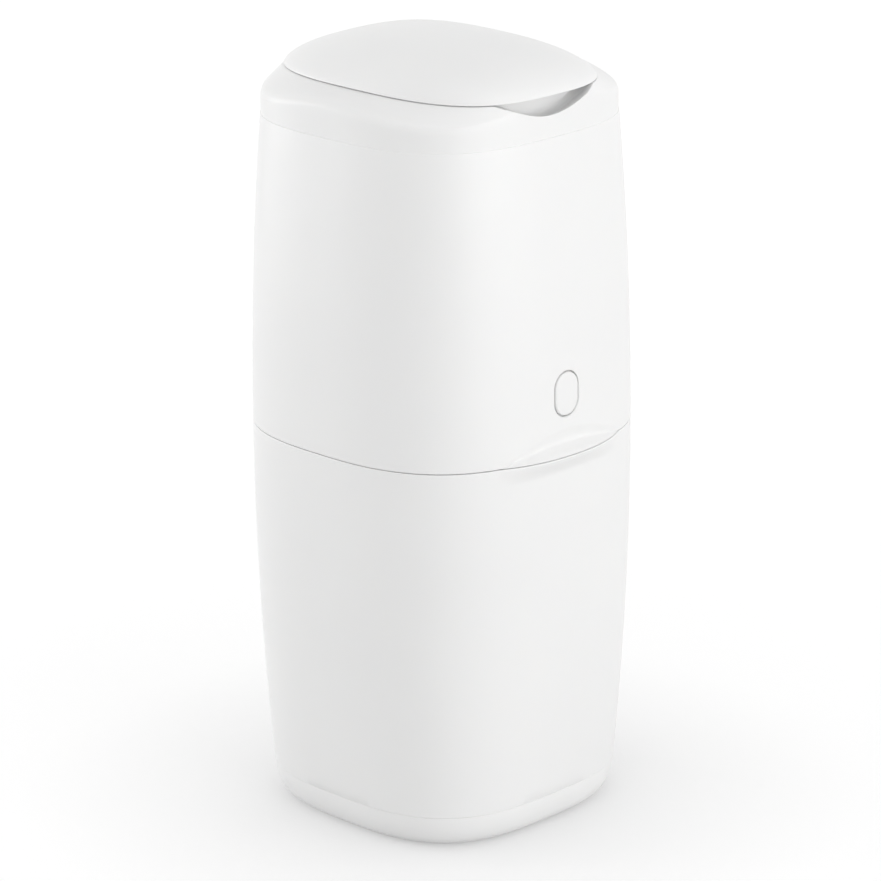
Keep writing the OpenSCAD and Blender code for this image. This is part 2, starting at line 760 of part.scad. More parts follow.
// Round well under the deck that the cassette drops into.
module cassette_cradle() {
    r = cradle_r;
    color(inner_col) rotate_extrude($fn = 96)
        polygon([[r, deck_z], [rebate_r - 0.3, deck_z], [rebate_r - 0.3, deck_z - flange_t],
            [r + cradle_wall, deck_z - flange_t], [r + cradle_wall, cradle_under],
            [throat_r, cradle_under], [throat_r, cradle_floor + 5],
            [throat_r + 1, cradle_floor + 6], [throat_r + 2, cradle_floor + 5],
            [throat_r + 2, cradle_floor], [r - 2, cradle_floor], [r, cradle_floor + 2]]);
}

// Square box with a round mouth that holds the jaws.
module jaw_box() {
    out = box_half + box_wall;
    color(inner_col) difference() {
        union() {
            block([-out - ear, -out - ear, box_top - flange_b],
                [out + ear, out + ear, box_top]);
            block([-out, -out, box_bottom], [out, out, box_top]);
            for (s = [-1, 1], x = [-1, 1]) translate([x * jaw_axle_x, 0, axle_z])
                rod_y(hub_r + 1.5, s > 0 ? out - eps : -out - 1.5,
                    s > 0 ? out + 1.5 : -out + eps);
        }
        block([-box_half, -box_half, box_bottom - 1],
            [box_half, box_half, box_top - flange_b]);
        translate([0, 0, box_top - 5]) cylinder(r = throat_r, h = 10, $fn = 96);
        for (x = [-1, 1]) translate([x * jaw_axle_x, 0, axle_z])
            rod_y(axle_r, -out - 3, out + 3);
        for (x = [-1, 1], y = [-1, 1])
            translate([x * (out + ear / 2), y * (out + ear / 2), box_top - 5])
                cylinder(r = hole_r, h = 10);
    }
}

// Four screws from below through the flange of the jaw box.
module jaw_box_screws() {
    at = box_half + box_wall + ear / 2;
    color(steel_col) for (x = [-1, 1], y = [-1, 1])
        translate([x * at, y * at, box_top - flange_b]) rotate([180, 0, 0])
            screw(head_r, shank_r, flange_b - small_play);
}

// Axle of one jaw.
module jaw_axle(side) {
    color(steel_col) translate([side * jaw_axle_x, 0, axle_z])
        rod_y(axle_r, -box_half - box_wall - 1.5, box_half + box_wall + 1.5);
}

// One jaw, drawn for the right side: hubs, dished plate and two ribs.
module jaw(side) {
    span = jaw_axle_x - jaw_edge;
    long = box_half - jaw_play;
    upper = [for (k = [0:8]) let (t = k / 8)
        [jaw_axle_x - span * t, axle_z + jaw_rise - jaw_dip * pow(t, 1.5)]];
    lower = [for (k = [8:-1:0]) [upper[k][0], upper[k][1] - jaw_t]];
    rib = [for (k = [7:-1:1]) [upper[k][0], upper[k][1] - jaw_t - rib_h * sin(22.5 * k)]];
    mirror([side < 0 ? 1 : 0, 0, 0]) color(inner_col) difference() {
        union() {
            for (s = [-1, 1]) translate([jaw_axle_x, 0, axle_z])
                rod_y(hub_r, s > 0 ? hub_gap : -long, s > 0 ? long : -hub_gap);
            translate([0, long, 0]) rotate([90, 0, 0]) linear_extrude(2 * long)
                polygon(concat(upper, lower));
            for (y = [-rib_at, rib_at]) translate([0, y + rib_t / 2, 0])
                rotate([90, 0, 0]) linear_extrude(rib_t)
                    polygon(concat([upper[1]], [upper[7]], rib));
        }
        translate([jaw_axle_x, 0, axle_z]) rod_y(axle_r + run_fit, -long - 1, long + 1);
        block([jaw_axle_x - hub_r - 1.8, -spring_gap, axle_z - hub_r - 1.8],
            [jaw_axle_x + hub_r + 1.8, spring_gap, axle_z + hub_r + 1.8]);
    }
}

// Rubber lip along the free edge of a jaw.
module jaw_lip(side) {
    long = box_half - jaw_play;
    edge = axle_z + jaw_rise - jaw_dip;
    mirror([side < 0 ? 1 : 0, 0, 0]) color(rubber_col)
        translate([0, long, 0]) rotate([90, 0, 0]) linear_extrude(2 * long)
            polygon([[jaw_edge, edge + 0.4], [jaw_edge * 0.54, edge + 0.8],
                [lip_gap, edge - 0.6], [lip_gap, edge - jaw_t],
                [jaw_edge * 0.46, edge - jaw_t - 0.8], [jaw_edge, edge - jaw_t - 0.4]]);
}

// Coil of a jaw's return spring, round its axle.
module jaw_spring(side) {
    mean_r = axle_r + 1;
    wire_r = 0.5;
    turns = 5;
    long = 2 * spring_gap - 1;
    color(steel_col) translate([side * jaw_axle_x, long / 2, axle_z])
        rotate([90, 0, 0]) coil(mean_r, wire_r, turns, long);
}

// Pin of the lid's hinge.
module lid_hinge_pin() {
    color(steel_col) translate([0, lid_pivot_y, lid_pivot_z])
        rod_x(lid_pin_r, -lid_hinge_half, lid_hinge_half);
}

// Ring-shaped tub of the refill cassette.
module cassette_tub() {
    low = cradle_floor + seat;
    out = cradle_r - cassette_play;
    top = low + cassette_h - 2;
    color(inner_col) rotate_extrude($fn = 96)
        polygon([[cassette_in, low], [out - 2, low], [out, low + 2], [out, top],
            [out - 1.6, top], [out - 1.6, low + 2.2], [out - 2.4, low + 1.6],
            [cassette_in + 1.6, low + 1.6], [cassette_in + 1.6, top],
            [cassette_in, top]]);
}

// Ring that covers the cassette and leaves the slot for the film.
module cassette_cap() {
    out = cradle_r - cassette_play;
    low = cradle_floor + seat + cassette_h - 2;
    color(inner_col) rotate_extrude($fn = 96)
        polygon([[cassette_in + 4, low + 1.2], [cassette_in + 5, low],
            [out, low], [out, low + 1.2], [out - 0.8, low + 2],
            [cassette_in + 4.6, low + 2]]);
}

// Film folded down into the cassette in rings.
module film_pack() {
    low = cradle_floor + seat + 1.8;
    in_r = cassette_in + 2;
    out = cradle_r - cassette_play - 4.4;
    folds = 14;
    pitch = (cassette_h - 7) / folds;
    color(film_col) rotate_extrude($fn = 64)
        polygon(concat([[in_r, low]],
            [for (k = [0:folds - 1]) each [[out - 1, low + k * pitch],
                [out + 1, low + (k + 0.5) * pitch]]],
            [[out - 1, low + folds * pitch], [in_r, low + folds * pitch]]));
}

// Domed lid with the knuckle of its hinge and the bosses for its liner.
module lid_shell() {
    outer = [1, 0.985, 0.955, 0.91, 0.84, 0.74, 0.6, 0.42, 0.22, 0.06];
    inner = [for (i = [len(outer) - 1:-1:0]) outer[i]];
    room_y = lid_pivot_y - lid_barrel_r - 1.2;
    color(shell_col) difference() {
        union() {
            loft(concat([for (s = inner) dome_ring(s, lid_wall)],
                [for (s = outer) dome_ring(s, 0)]));
            intersection() {
                loft([for (s = outer) dome_ring(s, lid_wall / 2)]);
                union() {
                    block([-lid_hinge_half - 4, room_y - 2.5, lid_z],
                        [lid_hinge_half + 4, room_y, lid_z + lid_rise]);
                    for (x = [-lid_screw_x, lid_screw_x], y = [-lid_screw_y, lid_screw_y])
                        translate([x, y, liner_top()]) cylinder(r = lid_boss_r, h = lid_rise);
                }
            }
        }
        block([-lid_hinge_half - 1.2, room_y, lid_z - 1],
            [lid_hinge_half + 1.2, lid_hy + 1, lid_z + lid_rise]);
        for (x = [-lid_screw_x, lid_screw_x], y = [-lid_screw_y, lid_screw_y])
            translate([x, y, liner_top() - 1]) cylinder(r = shank_r, h = lid_shank_l);
    }
    color(shell_col) difference() {
        union() {
            translate([0, lid_pivot_y, lid_pivot_z])
                rod_x(lid_barrel_r, -lid_knuckle, lid_knuckle);
            profile_x([[room_y - 2, lid_z + 0.4], [lid_pivot_y - 2, lid_z + 0.4],
                [lid_pivot_y + 2, lid_pivot_z + 4], [lid_pivot_y - 1, lid_z + 5],
                [room_y - 2, lid_z + 7]], -lid_knuckle, lid_knuckle);
        }
        translate([0, lid_pivot_y, lid_pivot_z])
            rod_x(lid_pin_r + run_fit, -lid_knuckle - 1, lid_knuckle + 1);
    }
}

// Height of the top of the liner's panel, and its half sizes.
function liner_top() = lid_z + 3.7;
function liner_hx() = lid_hx - rim_wall - 2.5;
function liner_hy() = scoop_back - 3 - 2.5;

// Flat panel inside the lid with a skirt for the seal.
module lid_liner() {
    top = liner_top();
    hx = liner_hx();
    hy = liner_hy();
    low = deck_z + 3.5;
    color(inner_col) difference() {
        loft([ring(hx - 2, hy - 2, corner_end, top - 2), ring(hx - 2, hy - 2, corner_end, low),
            ring(hx, hy, corner_end, low), ring(hx, hy, corner_end, top - 1),
            ring(hx - 1, hy - 1, corner_end, top)]);
        for (x = [-lid_screw_x, lid_screw_x], y = [-lid_screw_y, lid_screw_y])
            translate([x, y, top - 5]) cylinder(r = hole_r, h = 10);
    }
}

// Soft ring on the liner's skirt that meets the deck.
module lid_seal() {
    hx = liner_hx();
    hy = liner_hy();
    low = deck_z + seat;
    high = deck_z + 3.5;
    color(rubber_col) loft([ring(hx - 2, hy - 2, corner_end, low + 0.8),
        ring(hx - 1.2, hy - 1.2, corner_end, low), ring(hx - 0.2, hy - 0.2, corner_end, low),
        ring(hx + 0.6, hy + 0.6, corner_end, low + 0.8),
        ring(hx, hy, corner_end, high), ring(hx - 2, hy - 2, corner_end, high)],
        loop = true);
}

// Four screws that hold the liner.
module lid_screws() {
    color(steel_col) for (x = [-lid_screw_x, lid_screw_x], y = [-lid_screw_y, lid_screw_y])
        translate([x, y, liner_top() - 2]) rotate([180, 0, 0])
            screw(head_r, lid_shank_r, lid_shank_l);
}

base_tub();
foot_pads();
latch_keeper();
keeper_screws();
body_hinge_pin();
upper_body();
latch_bracket();
bracket_screws();
latch_pin();
top_collar();
cassette_cradle();
jaw_box();
jaw_box_screws();
jaw_axle(-1);  // jaw_axle_left
jaw_axle(1);  // jaw_axle_right
lid_hinge_pin();
release_button();
button_spring();
latch_hook();
latch_spring();
jaw(-1);  // jaw_left
jaw(1);  // jaw_right
jaw_lip(-1);  // jaw_lip_left
jaw_lip(1);  // jaw_lip_right
jaw_spring(-1);  // jaw_spring_left
jaw_spring(1);  // jaw_spring_right
cassette_tub();
cassette_cap();
film_pack();
lid_shell();
lid_liner();
lid_seal();
lid_screws();
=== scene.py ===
import math

import bmesh
import bpy
from mathutils import Euler, Matrix, Vector


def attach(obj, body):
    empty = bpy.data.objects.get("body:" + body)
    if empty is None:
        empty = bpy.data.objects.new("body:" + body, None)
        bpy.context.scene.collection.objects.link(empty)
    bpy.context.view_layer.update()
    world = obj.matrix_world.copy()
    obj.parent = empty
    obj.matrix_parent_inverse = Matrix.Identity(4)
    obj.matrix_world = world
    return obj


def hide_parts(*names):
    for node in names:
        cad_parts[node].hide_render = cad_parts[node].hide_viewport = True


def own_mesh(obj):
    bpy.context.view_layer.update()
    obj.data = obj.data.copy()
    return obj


# Nappy bin, all sizes in metres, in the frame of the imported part.
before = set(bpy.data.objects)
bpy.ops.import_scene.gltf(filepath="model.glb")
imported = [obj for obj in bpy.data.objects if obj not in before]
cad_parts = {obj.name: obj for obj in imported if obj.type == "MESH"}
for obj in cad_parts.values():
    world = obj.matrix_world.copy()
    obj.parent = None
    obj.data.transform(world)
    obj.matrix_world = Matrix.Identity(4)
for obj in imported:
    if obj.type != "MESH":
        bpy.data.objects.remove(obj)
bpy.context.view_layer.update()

# ---- sizes ----
# The shoulder's knee, the dish above the seam and the lid's edge are set for the scene;
# all other sizes are the same as in the part's source. A squareness of 2 is a circle.

# body and foot
body_w = 0.250
belly_z = 0.286
draw_in = 0.013
draw_h = 0.260
circle = 2
corner_mid = 2.75
corner_end = 3.0
wall = 0.003
seam_z = 0.291
tub_top = seam_z - 0.00025
body_bottom = seam_z + 0.00025
step_z = 0.026
step_in = 0.0006
step_soft = 0.0003
foot_in = 0.0124
floor_t = 0.003
pad_t = 0.0015

# shoulder and lid
ledge_z = 0.520
ledge_step = 0.0008
rim_z = 0.549
rim_t = 0.003
lid_hx = 0.0845
lid_hy = 0.113
knee_side = 0.5475
knee_corner = 0.5372
knee_r = 0.0075
knee_start = 0.38
knee_end = 0.72
deck_z = 0.540
deck_t = 0.005
lid_rise = 0.0265
lid_wall = 0.0025
lid_z = rim_z + 0.0008
lid_edge = rim_z + 0.0004
dome_h = lid_z + lid_rise - lid_edge - 0.0001
liner_in = 0.0055
liner_top = lid_z + 0.0037
liner_low = deck_z + 0.0035

# finger scoop under the lid and finger grip at the seam
scoop_w = 0.118
scoop_left = 0.004
scoop_dip = 0.013
scoop_deep = 0.018
scoop_back = lid_hy - 0.014
grip_w = 0.124
grip_h = 0.019
grip_dish = 0.0040
grip_lip = 0.0075
grip_fade = 0.014
grip_turn = 0.38

# rear hinge
hinge_y = 0.1245
barrel_r = 0.0065
hinge_pin_r = 0.0025
hinge_half = 0.055
hinge_room_r = barrel_r + 0.0006
end_knuckle = 0.017
mid_knuckle = 0.008
knuckle_gap = 0.0005
tuck = 0.0001

# lid hinge
lid_pivot_y = 0.1075
lid_pivot_z = 0.547
lid_barrel_r = 0.005
lid_pin_r = 0.0018
lid_knuckle = 0.024
lid_hinge_half = 0.041
lid_room_y = lid_pivot_y - lid_barrel_r - 0.0012
edge_room = 0.006

# button and latch
button_z = 0.3345
button_w = 0.023
button_h = 0.032
button_gap = 0.0011
button_proud = 0.001
button_crown = 0.0005
button_soft = 0.0014
stem_r = 0.005
coil_low = 0.0027
coil_length = 0.0072
keeper_z = seam_z - 0.026

# cassette, throat and jaws
cradle_r = 0.0766
cradle_wall = 0.002
cradle_floor = deck_z - 0.0535
cradle_under = cradle_floor - 0.0025
throat_r = 0.048
rebate_r = cradle_r + 0.0047
well_r = cradle_r + cradle_wall + 0.0005
flange_t = 0.002
cassette_in = 0.0505
cassette_out = cradle_r - 0.0007
cassette_wall = 0.0016
cassette_low = cradle_floor + 0.0003
cassette_cap_low = cassette_low + 0.042
jaw_axle_x = 0.045
axle_z = cradle_under - 0.020

# screws
screw_head_r = 0.003
screw_r = 0.0015
lid_screw_r = 0.0014
lid_screw_x = lid_hx * 0.535
lid_screw_y = lid_hy * 0.527
bracket_hole = 0.021
jaw_box_screw = 0.0565
keeper_screw = 0.009


def mix(a, b, t):
    """Value at the share t of the way from a to b."""
    return a + (b - a) * t


def steps(start, end, count):
    """Evenly spaced numbers from start to end, both included."""
    return [mix(start, end, k / (count - 1)) for k in range(count)]


def quarter(count):
    """Angles over a quarter turn, both ends included."""
    return [math.pi / 2 * k / count for k in range(count + 1)]


def four(x, y):
    """The four corners of a rectangle about the middle."""
    return [(sx * x, sy * y) for sx in (-1, 1) for sy in (-1, 1)]


def half_at(z):
    """Half width of the body at a height."""
    return body_w / 2 - draw_in * ((z - belly_z) / draw_h) ** 2


def corner_at(z):
    """Squareness of the body's section at a height."""
    return corner_mid + (corner_end - corner_mid) * ((z - belly_z) / draw_h) ** 2


hinge = (0, hinge_y, seam_z)
lid_pivot = (0, lid_pivot_y, lid_pivot_z)
wall_in = half_at(button_z) - wall
latch_z = button_z - 0.0185
latch_y = -(wall_in - 0.0195)
collar_half = half_at(ledge_z) - ledge_step
foot_half = half_at(step_z) - step_in


# ---- finishes ----
class Link:
    """A value inside a node tree that sums, products and powers can be taken of."""

    def __init__(self, tree, socket):
        self.tree = tree
        self.socket = socket

    def math(self, kind, *others, flip=False):
        node = self.tree.nodes.new("ShaderNodeMath")
        node.operation = kind
        terms = [self, *others]
        if flip:
            terms.reverse()
        for slot, term in zip(node.inputs, terms):
            if isinstance(term, Link):
                self.tree.links.new(term.socket, slot)
            else:
                slot.default_value = term
        return Link(self.tree, node.outputs[0])

    def __add__(self, other):
        return self.math("ADD", other)

    def __sub__(self, other):
        return self.math("SUBTRACT", other)

    def __rsub__(self, other):
        return self.math("SUBTRACT", other, flip=True)

    def __mul__(self, other):
        return self.math("MULTIPLY", other)

    def __truediv__(self, other):
        return self.math("DIVIDE", other)

    def __rtruediv__(self, other):
        return self.math("DIVIDE", other, flip=True)

    def __pow__(self, other):
        return self.math("POWER", other)

    __radd__ = __add__
    __rmul__ = __mul__


def feed(node, **values):
    """Sets a node's inputs by name, to sockets, links or plain values."""
    for key, value in values.items():
        slot = node.inputs[key.replace("_", " ")]
        if isinstance(value, Link):
            value = value.socket
        if isinstance(value, bpy.types.NodeSocket):
            node.id_data.links.new(value, slot)
        else:
            slot.default_value = value


def add_node(tree, kind, props=None, **values):
    """Adds a node with its settings and its inputs."""
    node = tree.nodes.new(kind)
    for key, value in (props or {}).items():
        setattr(node, key, value)
    feed(node, **values)
    return node


def new_finish(name):
    """Material with its tree, its shader and the piece's own coordinates."""
    finish = bpy.data.materials.new(name)
    finish.use_nodes = True
    tree = finish.node_tree
    place = add_node(tree, "ShaderNodeTexCoord").outputs["Object"]
    return finish, tree, tree.nodes["Principled BSDF"], place


def noise(tree, place, scale, detail=2.0, rough=0.5, stretch=None):
    """Noise on the piece's own coordinates, with features of about 1/scale metres."""
    if stretch:
        place = add_node(tree, "ShaderNodeMapping", Vector=place,
                         Scale=stretch).outputs["Vector"]
    node = add_node(tree, "ShaderNodeTexNoise", Vector=place, Scale=scale, Detail=detail,
                    Roughness=rough)
    return Link(tree, node.outputs[0])


def spread(value, low, high, start=0.3, end=0.7):
    """Maps the range from start to end, the middle of a noise, to that from low to high."""
    node = add_node(value.tree, "ShaderNodeMapRange", Value=value, From_Min=start,
                    From_Max=end, To_Min=low, To_Max=high)
    return Link(value.tree, node.outputs["Result"])


def tint(shader, factor, first, second):
    """Base colour between two near shades."""
    node = add_node(factor.tree, "ShaderNodeMix", {"data_type": "RGBA"}, Factor=factor,
                    A=(*first, 1), B=(*second, 1))
    feed(shader, Base_Color=node.outputs["Result"])


def emboss(shader, height, strength, distance):
    """Relief too fine for the mesh."""
    node = add_node(height.tree, "ShaderNodeBump", Height=height, Strength=strength,
                    Distance=distance)
    feed(shader, Normal=node.outputs["Normal"])


def moulded(name, light, dark, rough, grain, depth, soft=0.0, lines=0.03):
    """Moulded plastic: slow shade drift, fine surface grain, faint rubbed patches."""
    finish, tree, shader, place = new_finish(name)
    drift = noise(tree, place, scale=9, detail=3)
    rubbed = noise(tree, place, scale=38, detail=4, rough=0.6)
    hair = noise(tree, place, scale=420, rough=0.6, stretch=(1, 1, 0.04))
    tint(shader, spread(drift, 0, 1), light, dark)
    emboss(shader, noise(tree, place, scale=grain), strength=0.35, distance=depth)
    feed(shader, Roughness=spread(rubbed, *rough) + spread(hair, 0, lines, 0.55, 0.75),
         IOR=1.49, Subsurface_Weight=soft, Subsurface_Scale=0.4,
         Subsurface_Radius=(0.004, 0.0035, 0.003))
    return finish


def drawn_steel(name, shade, rough, along):
    """Drawn or turned steel with fine lines along one axis."""
    finish, tree, shader, place = new_finish(name)
    stretch = [60, 60, 60]
    stretch[along] = 1.2
    lines = noise(tree, place, scale=60, detail=4, rough=0.7, stretch=stretch)
    stain = noise(tree, place, scale=55, detail=3)
    tint(shader, spread(stain, 0, 1), shade, [c * 0.86 for c in shade])
    emboss(shader, lines, strength=0.25, distance=0.00004)
    feed(shader, Roughness=spread(lines, *rough), Metallic=1.0)
    return finish


def soft_rubber(name, shade):
    """Matt rubber with a faint bloom."""
    finish, tree, shader, place = new_finish(name)
    bloom = noise(tree, place, scale=60, detail=5, rough=0.65)
    tint(shader, spread(bloom, 0, 1), shade, [c * 1.35 for c in shade])
    emboss(shader, noise(tree, place, scale=2600), strength=0.4, distance=0.00006)
    feed(shader, Roughness=spread(bloom, 0.72, 0.9))
    return finish


def thin_film(name, shade):
    """Crinkled thin film with a gloss coat."""
    finish, tree, shader, place = new_finish(name)
    crinkle = noise(tree, place, scale=130, detail=4, rough=0.6, stretch=(1, 1, 2.4))
    tint(shader, spread(crinkle, 0, 1), shade, [c * 0.9 for c in shade])
    emboss(shader, crinkle, strength=0.6, distance=0.0006)
    feed(shader, Roughness=spread(crinkle, 0.18, 0.34), Transmission_Weight=0.15,
         Coat_Weight=0.4, Coat_Roughness=0.12)
    return finish


shell_white = moulded("Satin white shell plastic", (0.905, 0.905, 0.9), (0.89, 0.89, 0.888),
                      (0.30, 0.40), 1900, 0.00002, soft=0.05)
button_white = moulded("White button plastic", (0.9, 0.9, 0.895), (0.885, 0.885, 0.88),
                       (0.29, 0.32), 2600, 0.000004, lines=0.004)
inner_white = moulded("Matt inner plastic", (0.80, 0.815, 0.83), (0.77, 0.785, 0.80),
                      (0.48, 0.60), 1500, 0.00006)
jaw_plastic = moulded("Grey-blue jaw plastic", (0.56, 0.62, 0.68), (0.52, 0.58, 0.64),
                      (0.42, 0.54), 1700, 0.00005)
pin_steel = drawn_steel("Drawn pin steel", (0.62, 0.63, 0.65), (0.22, 0.40), 0)
jaw_pin_steel = drawn_steel("Drawn axle steel", (0.62, 0.63, 0.65), (0.22, 0.40), 1)
plate_steel = drawn_steel("Rolled plate steel", (0.58, 0.59, 0.61), (0.30, 0.48), 0)
spring_steel = drawn_steel("Spring wire", (0.50, 0.50, 0.52), (0.20, 0.34), 2)
screw_steel = drawn_steel("Zinc-coated screws", (0.66, 0.68, 0.72), (0.26, 0.42), 2)
seal_rubber = soft_rubber("Grey seal rubber", (0.16, 0.165, 0.175))
foot_rubber = soft_rubber("Dark foot rubber", (0.07, 0.07, 0.075))
folded_film = thin_film("Folded refill film", (0.62, 0.74, 0.86))


# ---- making and joining meshes ----
def add_object(name, mesh):
    """New object in the scene."""
    piece = bpy.data.objects.new(name, mesh)
    bpy.context.scene.collection.objects.link(piece)
    return piece


def from_points(name, points, faces):
    """New object from points and faces."""
    mesh = bpy.data.meshes.new(name)
    mesh.from_pydata(points, [], faces)
    return add_object(name, mesh)


def stacked(name, rings):
    """Closed solid through rings of points, with a flat cap at both ends."""
    size = len(rings[0])
    points = [point for ring in rings for point in ring]
    faces = [(i * size + k, i * size + (k + 1) % size, (i + 1) * size + (k + 1) % size,
              (i + 1) * size + k) for i in range(len(rings) - 1) for k in range(size)]
    faces += [tuple(range(size)), tuple(range(len(points) - size, len(points)))]
    return clean(from_points(name, points, faces))


def clean(piece):
    """Merges doubles and turns the faces outwards."""
    work = bmesh.new()
    work.from_mesh(piece.data)
    bmesh.ops.remove_doubles(work, verts=work.verts, dist=1e-6)
    bmesh.ops.dissolve_degenerate(work, edges=work.edges, dist=1e-8)
    bmesh.ops.recalc_face_normals(work, faces=work.faces)
    work.to_mesh(piece.data)
    work.free()
    return piece


def settle(piece):
    """Replaces the piece's mesh by the result of its modifiers."""
    graph = bpy.context.evaluated_depsgraph_get()
    made = bpy.data.meshes.new_from_object(piece.evaluated_get(graph))
    piece.modifiers.clear()
    piece.data = made
    return piece


def combine(piece, others, kind):
    """Cuts, joins or intersects a piece with others, which are used up."""
    for other in others:
        step = piece.modifiers.new("fit", "BOOLEAN")
        step.operation = kind
        step.solver = "EXACT"
        step.object = other
        settle(piece)
        bpy.data.objects.remove(other)
    return clean(piece)


def cut(piece, *others):
    return combine(piece, others, "DIFFERENCE")


def weld(piece, *others):
    return combine(piece, others, "UNION")


def welded(pieces):
    """The first piece, with each of the others welded on as it is made."""
    whole = None
    for piece in pieces:
        whole = weld(whole, piece) if whole else piece
    return whole


def overlap(piece, *others):
    return combine(piece, others, "INTERSECT")


def dress(piece, finish, body, nodes=(), sharp=35):
    """Gives a piece its finish and shading, and lets it ride on its body."""
    piece.data.materials.clear()
    piece.data.materials.append(finish)
    for face in piece.data.polygons:
        face.material_index = 0
    piece.data.shade_smooth()
    piece.data.set_sharp_from_angle(angle=math.radians(sharp))
    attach(piece, body)
    if nodes:
        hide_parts(*nodes)
    return piece


def block(low, high, name="block"):
    """Box between two opposite corners."""
    xs, ys, zs = zip(low, high)
    points = [(x, y, z) for x in xs for y in ys for z in zs]
    faces = [(0, 1, 3, 2), (4, 6, 7, 5), (0, 4, 5, 1), (2, 3, 7, 6), (0, 2, 6, 4),
             (1, 5, 7, 3)]
    return from_points(name, points, faces)


def slab(half, y, z, name="slab"):
    """Box centred across the bin, between two places along Y and two heights."""
    return block((-half, y[0], z[0]), (half, y[1], z[1]), name)


def turned(name, profile, centre=(0, 0, 0), axis="z", sides=96):
    """Closed outline of (radius, place) pairs turned about an axis."""
    count = len(profile)
    points = []
    for k in range(sides):
        a = 2 * math.pi * k / sides
        for r, h in profile:
            points.append((r * math.cos(a), r * math.sin(a), h))
    faces = [(k * count + i, (k + 1) % sides * count + i,
              (k + 1) % sides * count + (i + 1) % count, k * count + (i + 1) % count)
             for k in range(sides) for i in range(count)]
    piece = from_points(name, points, faces)
    turn = {"z": Euler((0, 0, 0)), "x": Euler((0, math.pi / 2, 0)),
            "y": Euler((-math.pi / 2, 0, 0))}[axis]
    piece.data.transform(Matrix.Translation(centre) @ turn.to_matrix().to_4x4())
    return clean(piece)


def rounded(outline, radius, steps=4):
    """The outline with each corner cut by a small arc. A third number overrides it."""
    done = []
    count = len(outline)
    for i, corner in enumerate(outline):
        r = corner[2] if len(corner) > 2 else radius
        here = Vector(corner[:2])
        before = Vector(outline[i - 1][:2]) - here
        after = Vector(outline[(i + 1) % count][:2]) - here
        reach = min(r, before.length * 0.45, after.length * 0.45)
        if reach < 1e-6:
            done.append(tuple(here))
            continue
        a = here + before.normalized() * reach
        b = here + after.normalized() * reach
        for k in range(steps + 1):
            t = k / steps
            done.append(tuple(a * (1 - t) ** 2 + here * (2 * t * (1 - t)) + b * t ** 2))
    return done


def rod(r, start, end, axis, centre, bevel=0.0004, sides=48, name="rod"):
    """Round bar along an axis with chamfered ends; centre gives the other two places."""
    profile = [(0, start), (r - bevel, start), (r, start + bevel), (r, end - bevel),
               (r - bevel, end), (0, end)]
    return turned(name, profile, centre, axis, sides)


def tube(name, r_out, r_in, start, end, centre):
    """Knuckle along X with a bore."""
    profile = rounded([(r_in, start), (r_out, start), (r_out, end), (r_in, end)],
                      radius=0.0004, steps=3)
    return turned(name, profile, centre, "x", 64)


def hinge_eye(barrel, web, room, centre):
    """Knuckle welded to the web that carries it; the web keeps clear of the pin."""
    cut(web, rod(room, -0.06, 0.06, "x", centre))
    return weld(barrel, bevelled(web, 0.0003))


def extruded(name, outline, start, end, axis="x"):
    """Outline in the plane across the axis, drawn out between two places."""
    count = len(outline)
    order = {"x": lambda u, v, w: (w, u, v), "y": lambda u, v, w: (u, w, v),
             "z": lambda u, v, w: (u, v, w)}[axis]
    points = [order(u, v, w) for w in (start, end) for u, v in outline]
    faces = [tuple(range(count)), tuple(range(2 * count - 1, count - 1, -1))]
    faces += [(i, (i + 1) % count, count + (i + 1) % count, count + i)
              for i in range(count)]
    return clean(from_points(name, points, faces))


def bevelled(piece, width):
    """The piece with its sharp edges broken."""
    edge = piece.modifiers.new("edges", "BEVEL")
    edge.width = width
    edge.segments = 2
    edge.limit_method = "ANGLE"
    edge.angle_limit = math.radians(30)
    edge.harden_normals = False
    return clean(settle(piece))


def softened(node, width, finish, body):
    """A CAD solid with its flat faces merged and its edges broken."""
    piece = add_object(node + "_piece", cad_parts[node].data.copy())
    work = bmesh.new()
    work.from_mesh(piece.data)
    bmesh.ops.remove_doubles(work, verts=work.verts, dist=2e-6)
    bmesh.ops.dissolve_limit(work, angle_limit=math.radians(1.0), verts=work.verts,
                             edges=work.edges)
    work.to_mesh(piece.data)
    work.free()
    bevelled(piece, width)
    return dress(piece, finish, body, [node])


# ---- node trees that make the pieces that follow a rule ----
def new_tree(name, inputs):
    """Geometry tree with named inputs; returns the tree, its inputs and its output."""
    tree = bpy.data.node_groups.new(name, "GeometryNodeTree")
    kinds = {float: "NodeSocketFloat", int: "NodeSocketInt", tuple: "NodeSocketVector",
             "object": "NodeSocketObject", "material": "NodeSocketMaterial"}
    tree.interface.new_socket(name="Geometry", in_out="INPUT",
                              socket_type="NodeSocketGeometry")
    for key, value in inputs.items():
        kind = kinds[value] if isinstance(value, str) else kinds[type(value)]
        socket = tree.interface.new_socket(name=key, in_out="INPUT", socket_type=kind)
        if not isinstance(value, str):
            socket.default_value = value
    tree.interface.new_socket(name="Geometry", in_out="OUTPUT",
                              socket_type="NodeSocketGeometry")
    start = tree.nodes.new("NodeGroupInput")
    end = tree.nodes.new("NodeGroupOutput")
    return tree, start.outputs, end.inputs["Geometry"]


def finish_tree(tree, shape, material, result):
    """Realizes instances, sets the material and ends the tree."""
    real = add_node(tree, "GeometryNodeRealizeInstances", Geometry=shape)
    coated = add_node(tree, "GeometryNodeSetMaterial", Geometry=real.outputs[0],
                      Material=material)
    tree.links.new(coated.outputs[0], result)


def grown(name, tree, values, base=None):
    """Plain mesh that a tree makes from a base mesh and its input values."""
    piece = add_object(name, base or bpy.data.meshes.new(name))
    step = piece.modifiers.new("shape", "NODES")
    step.node_group = tree
    for item in tree.interface.items_tree:
        if item.in_out == "INPUT" and item.name in values:
            step[item.identifier] = values[item.name]
    return settle(piece)


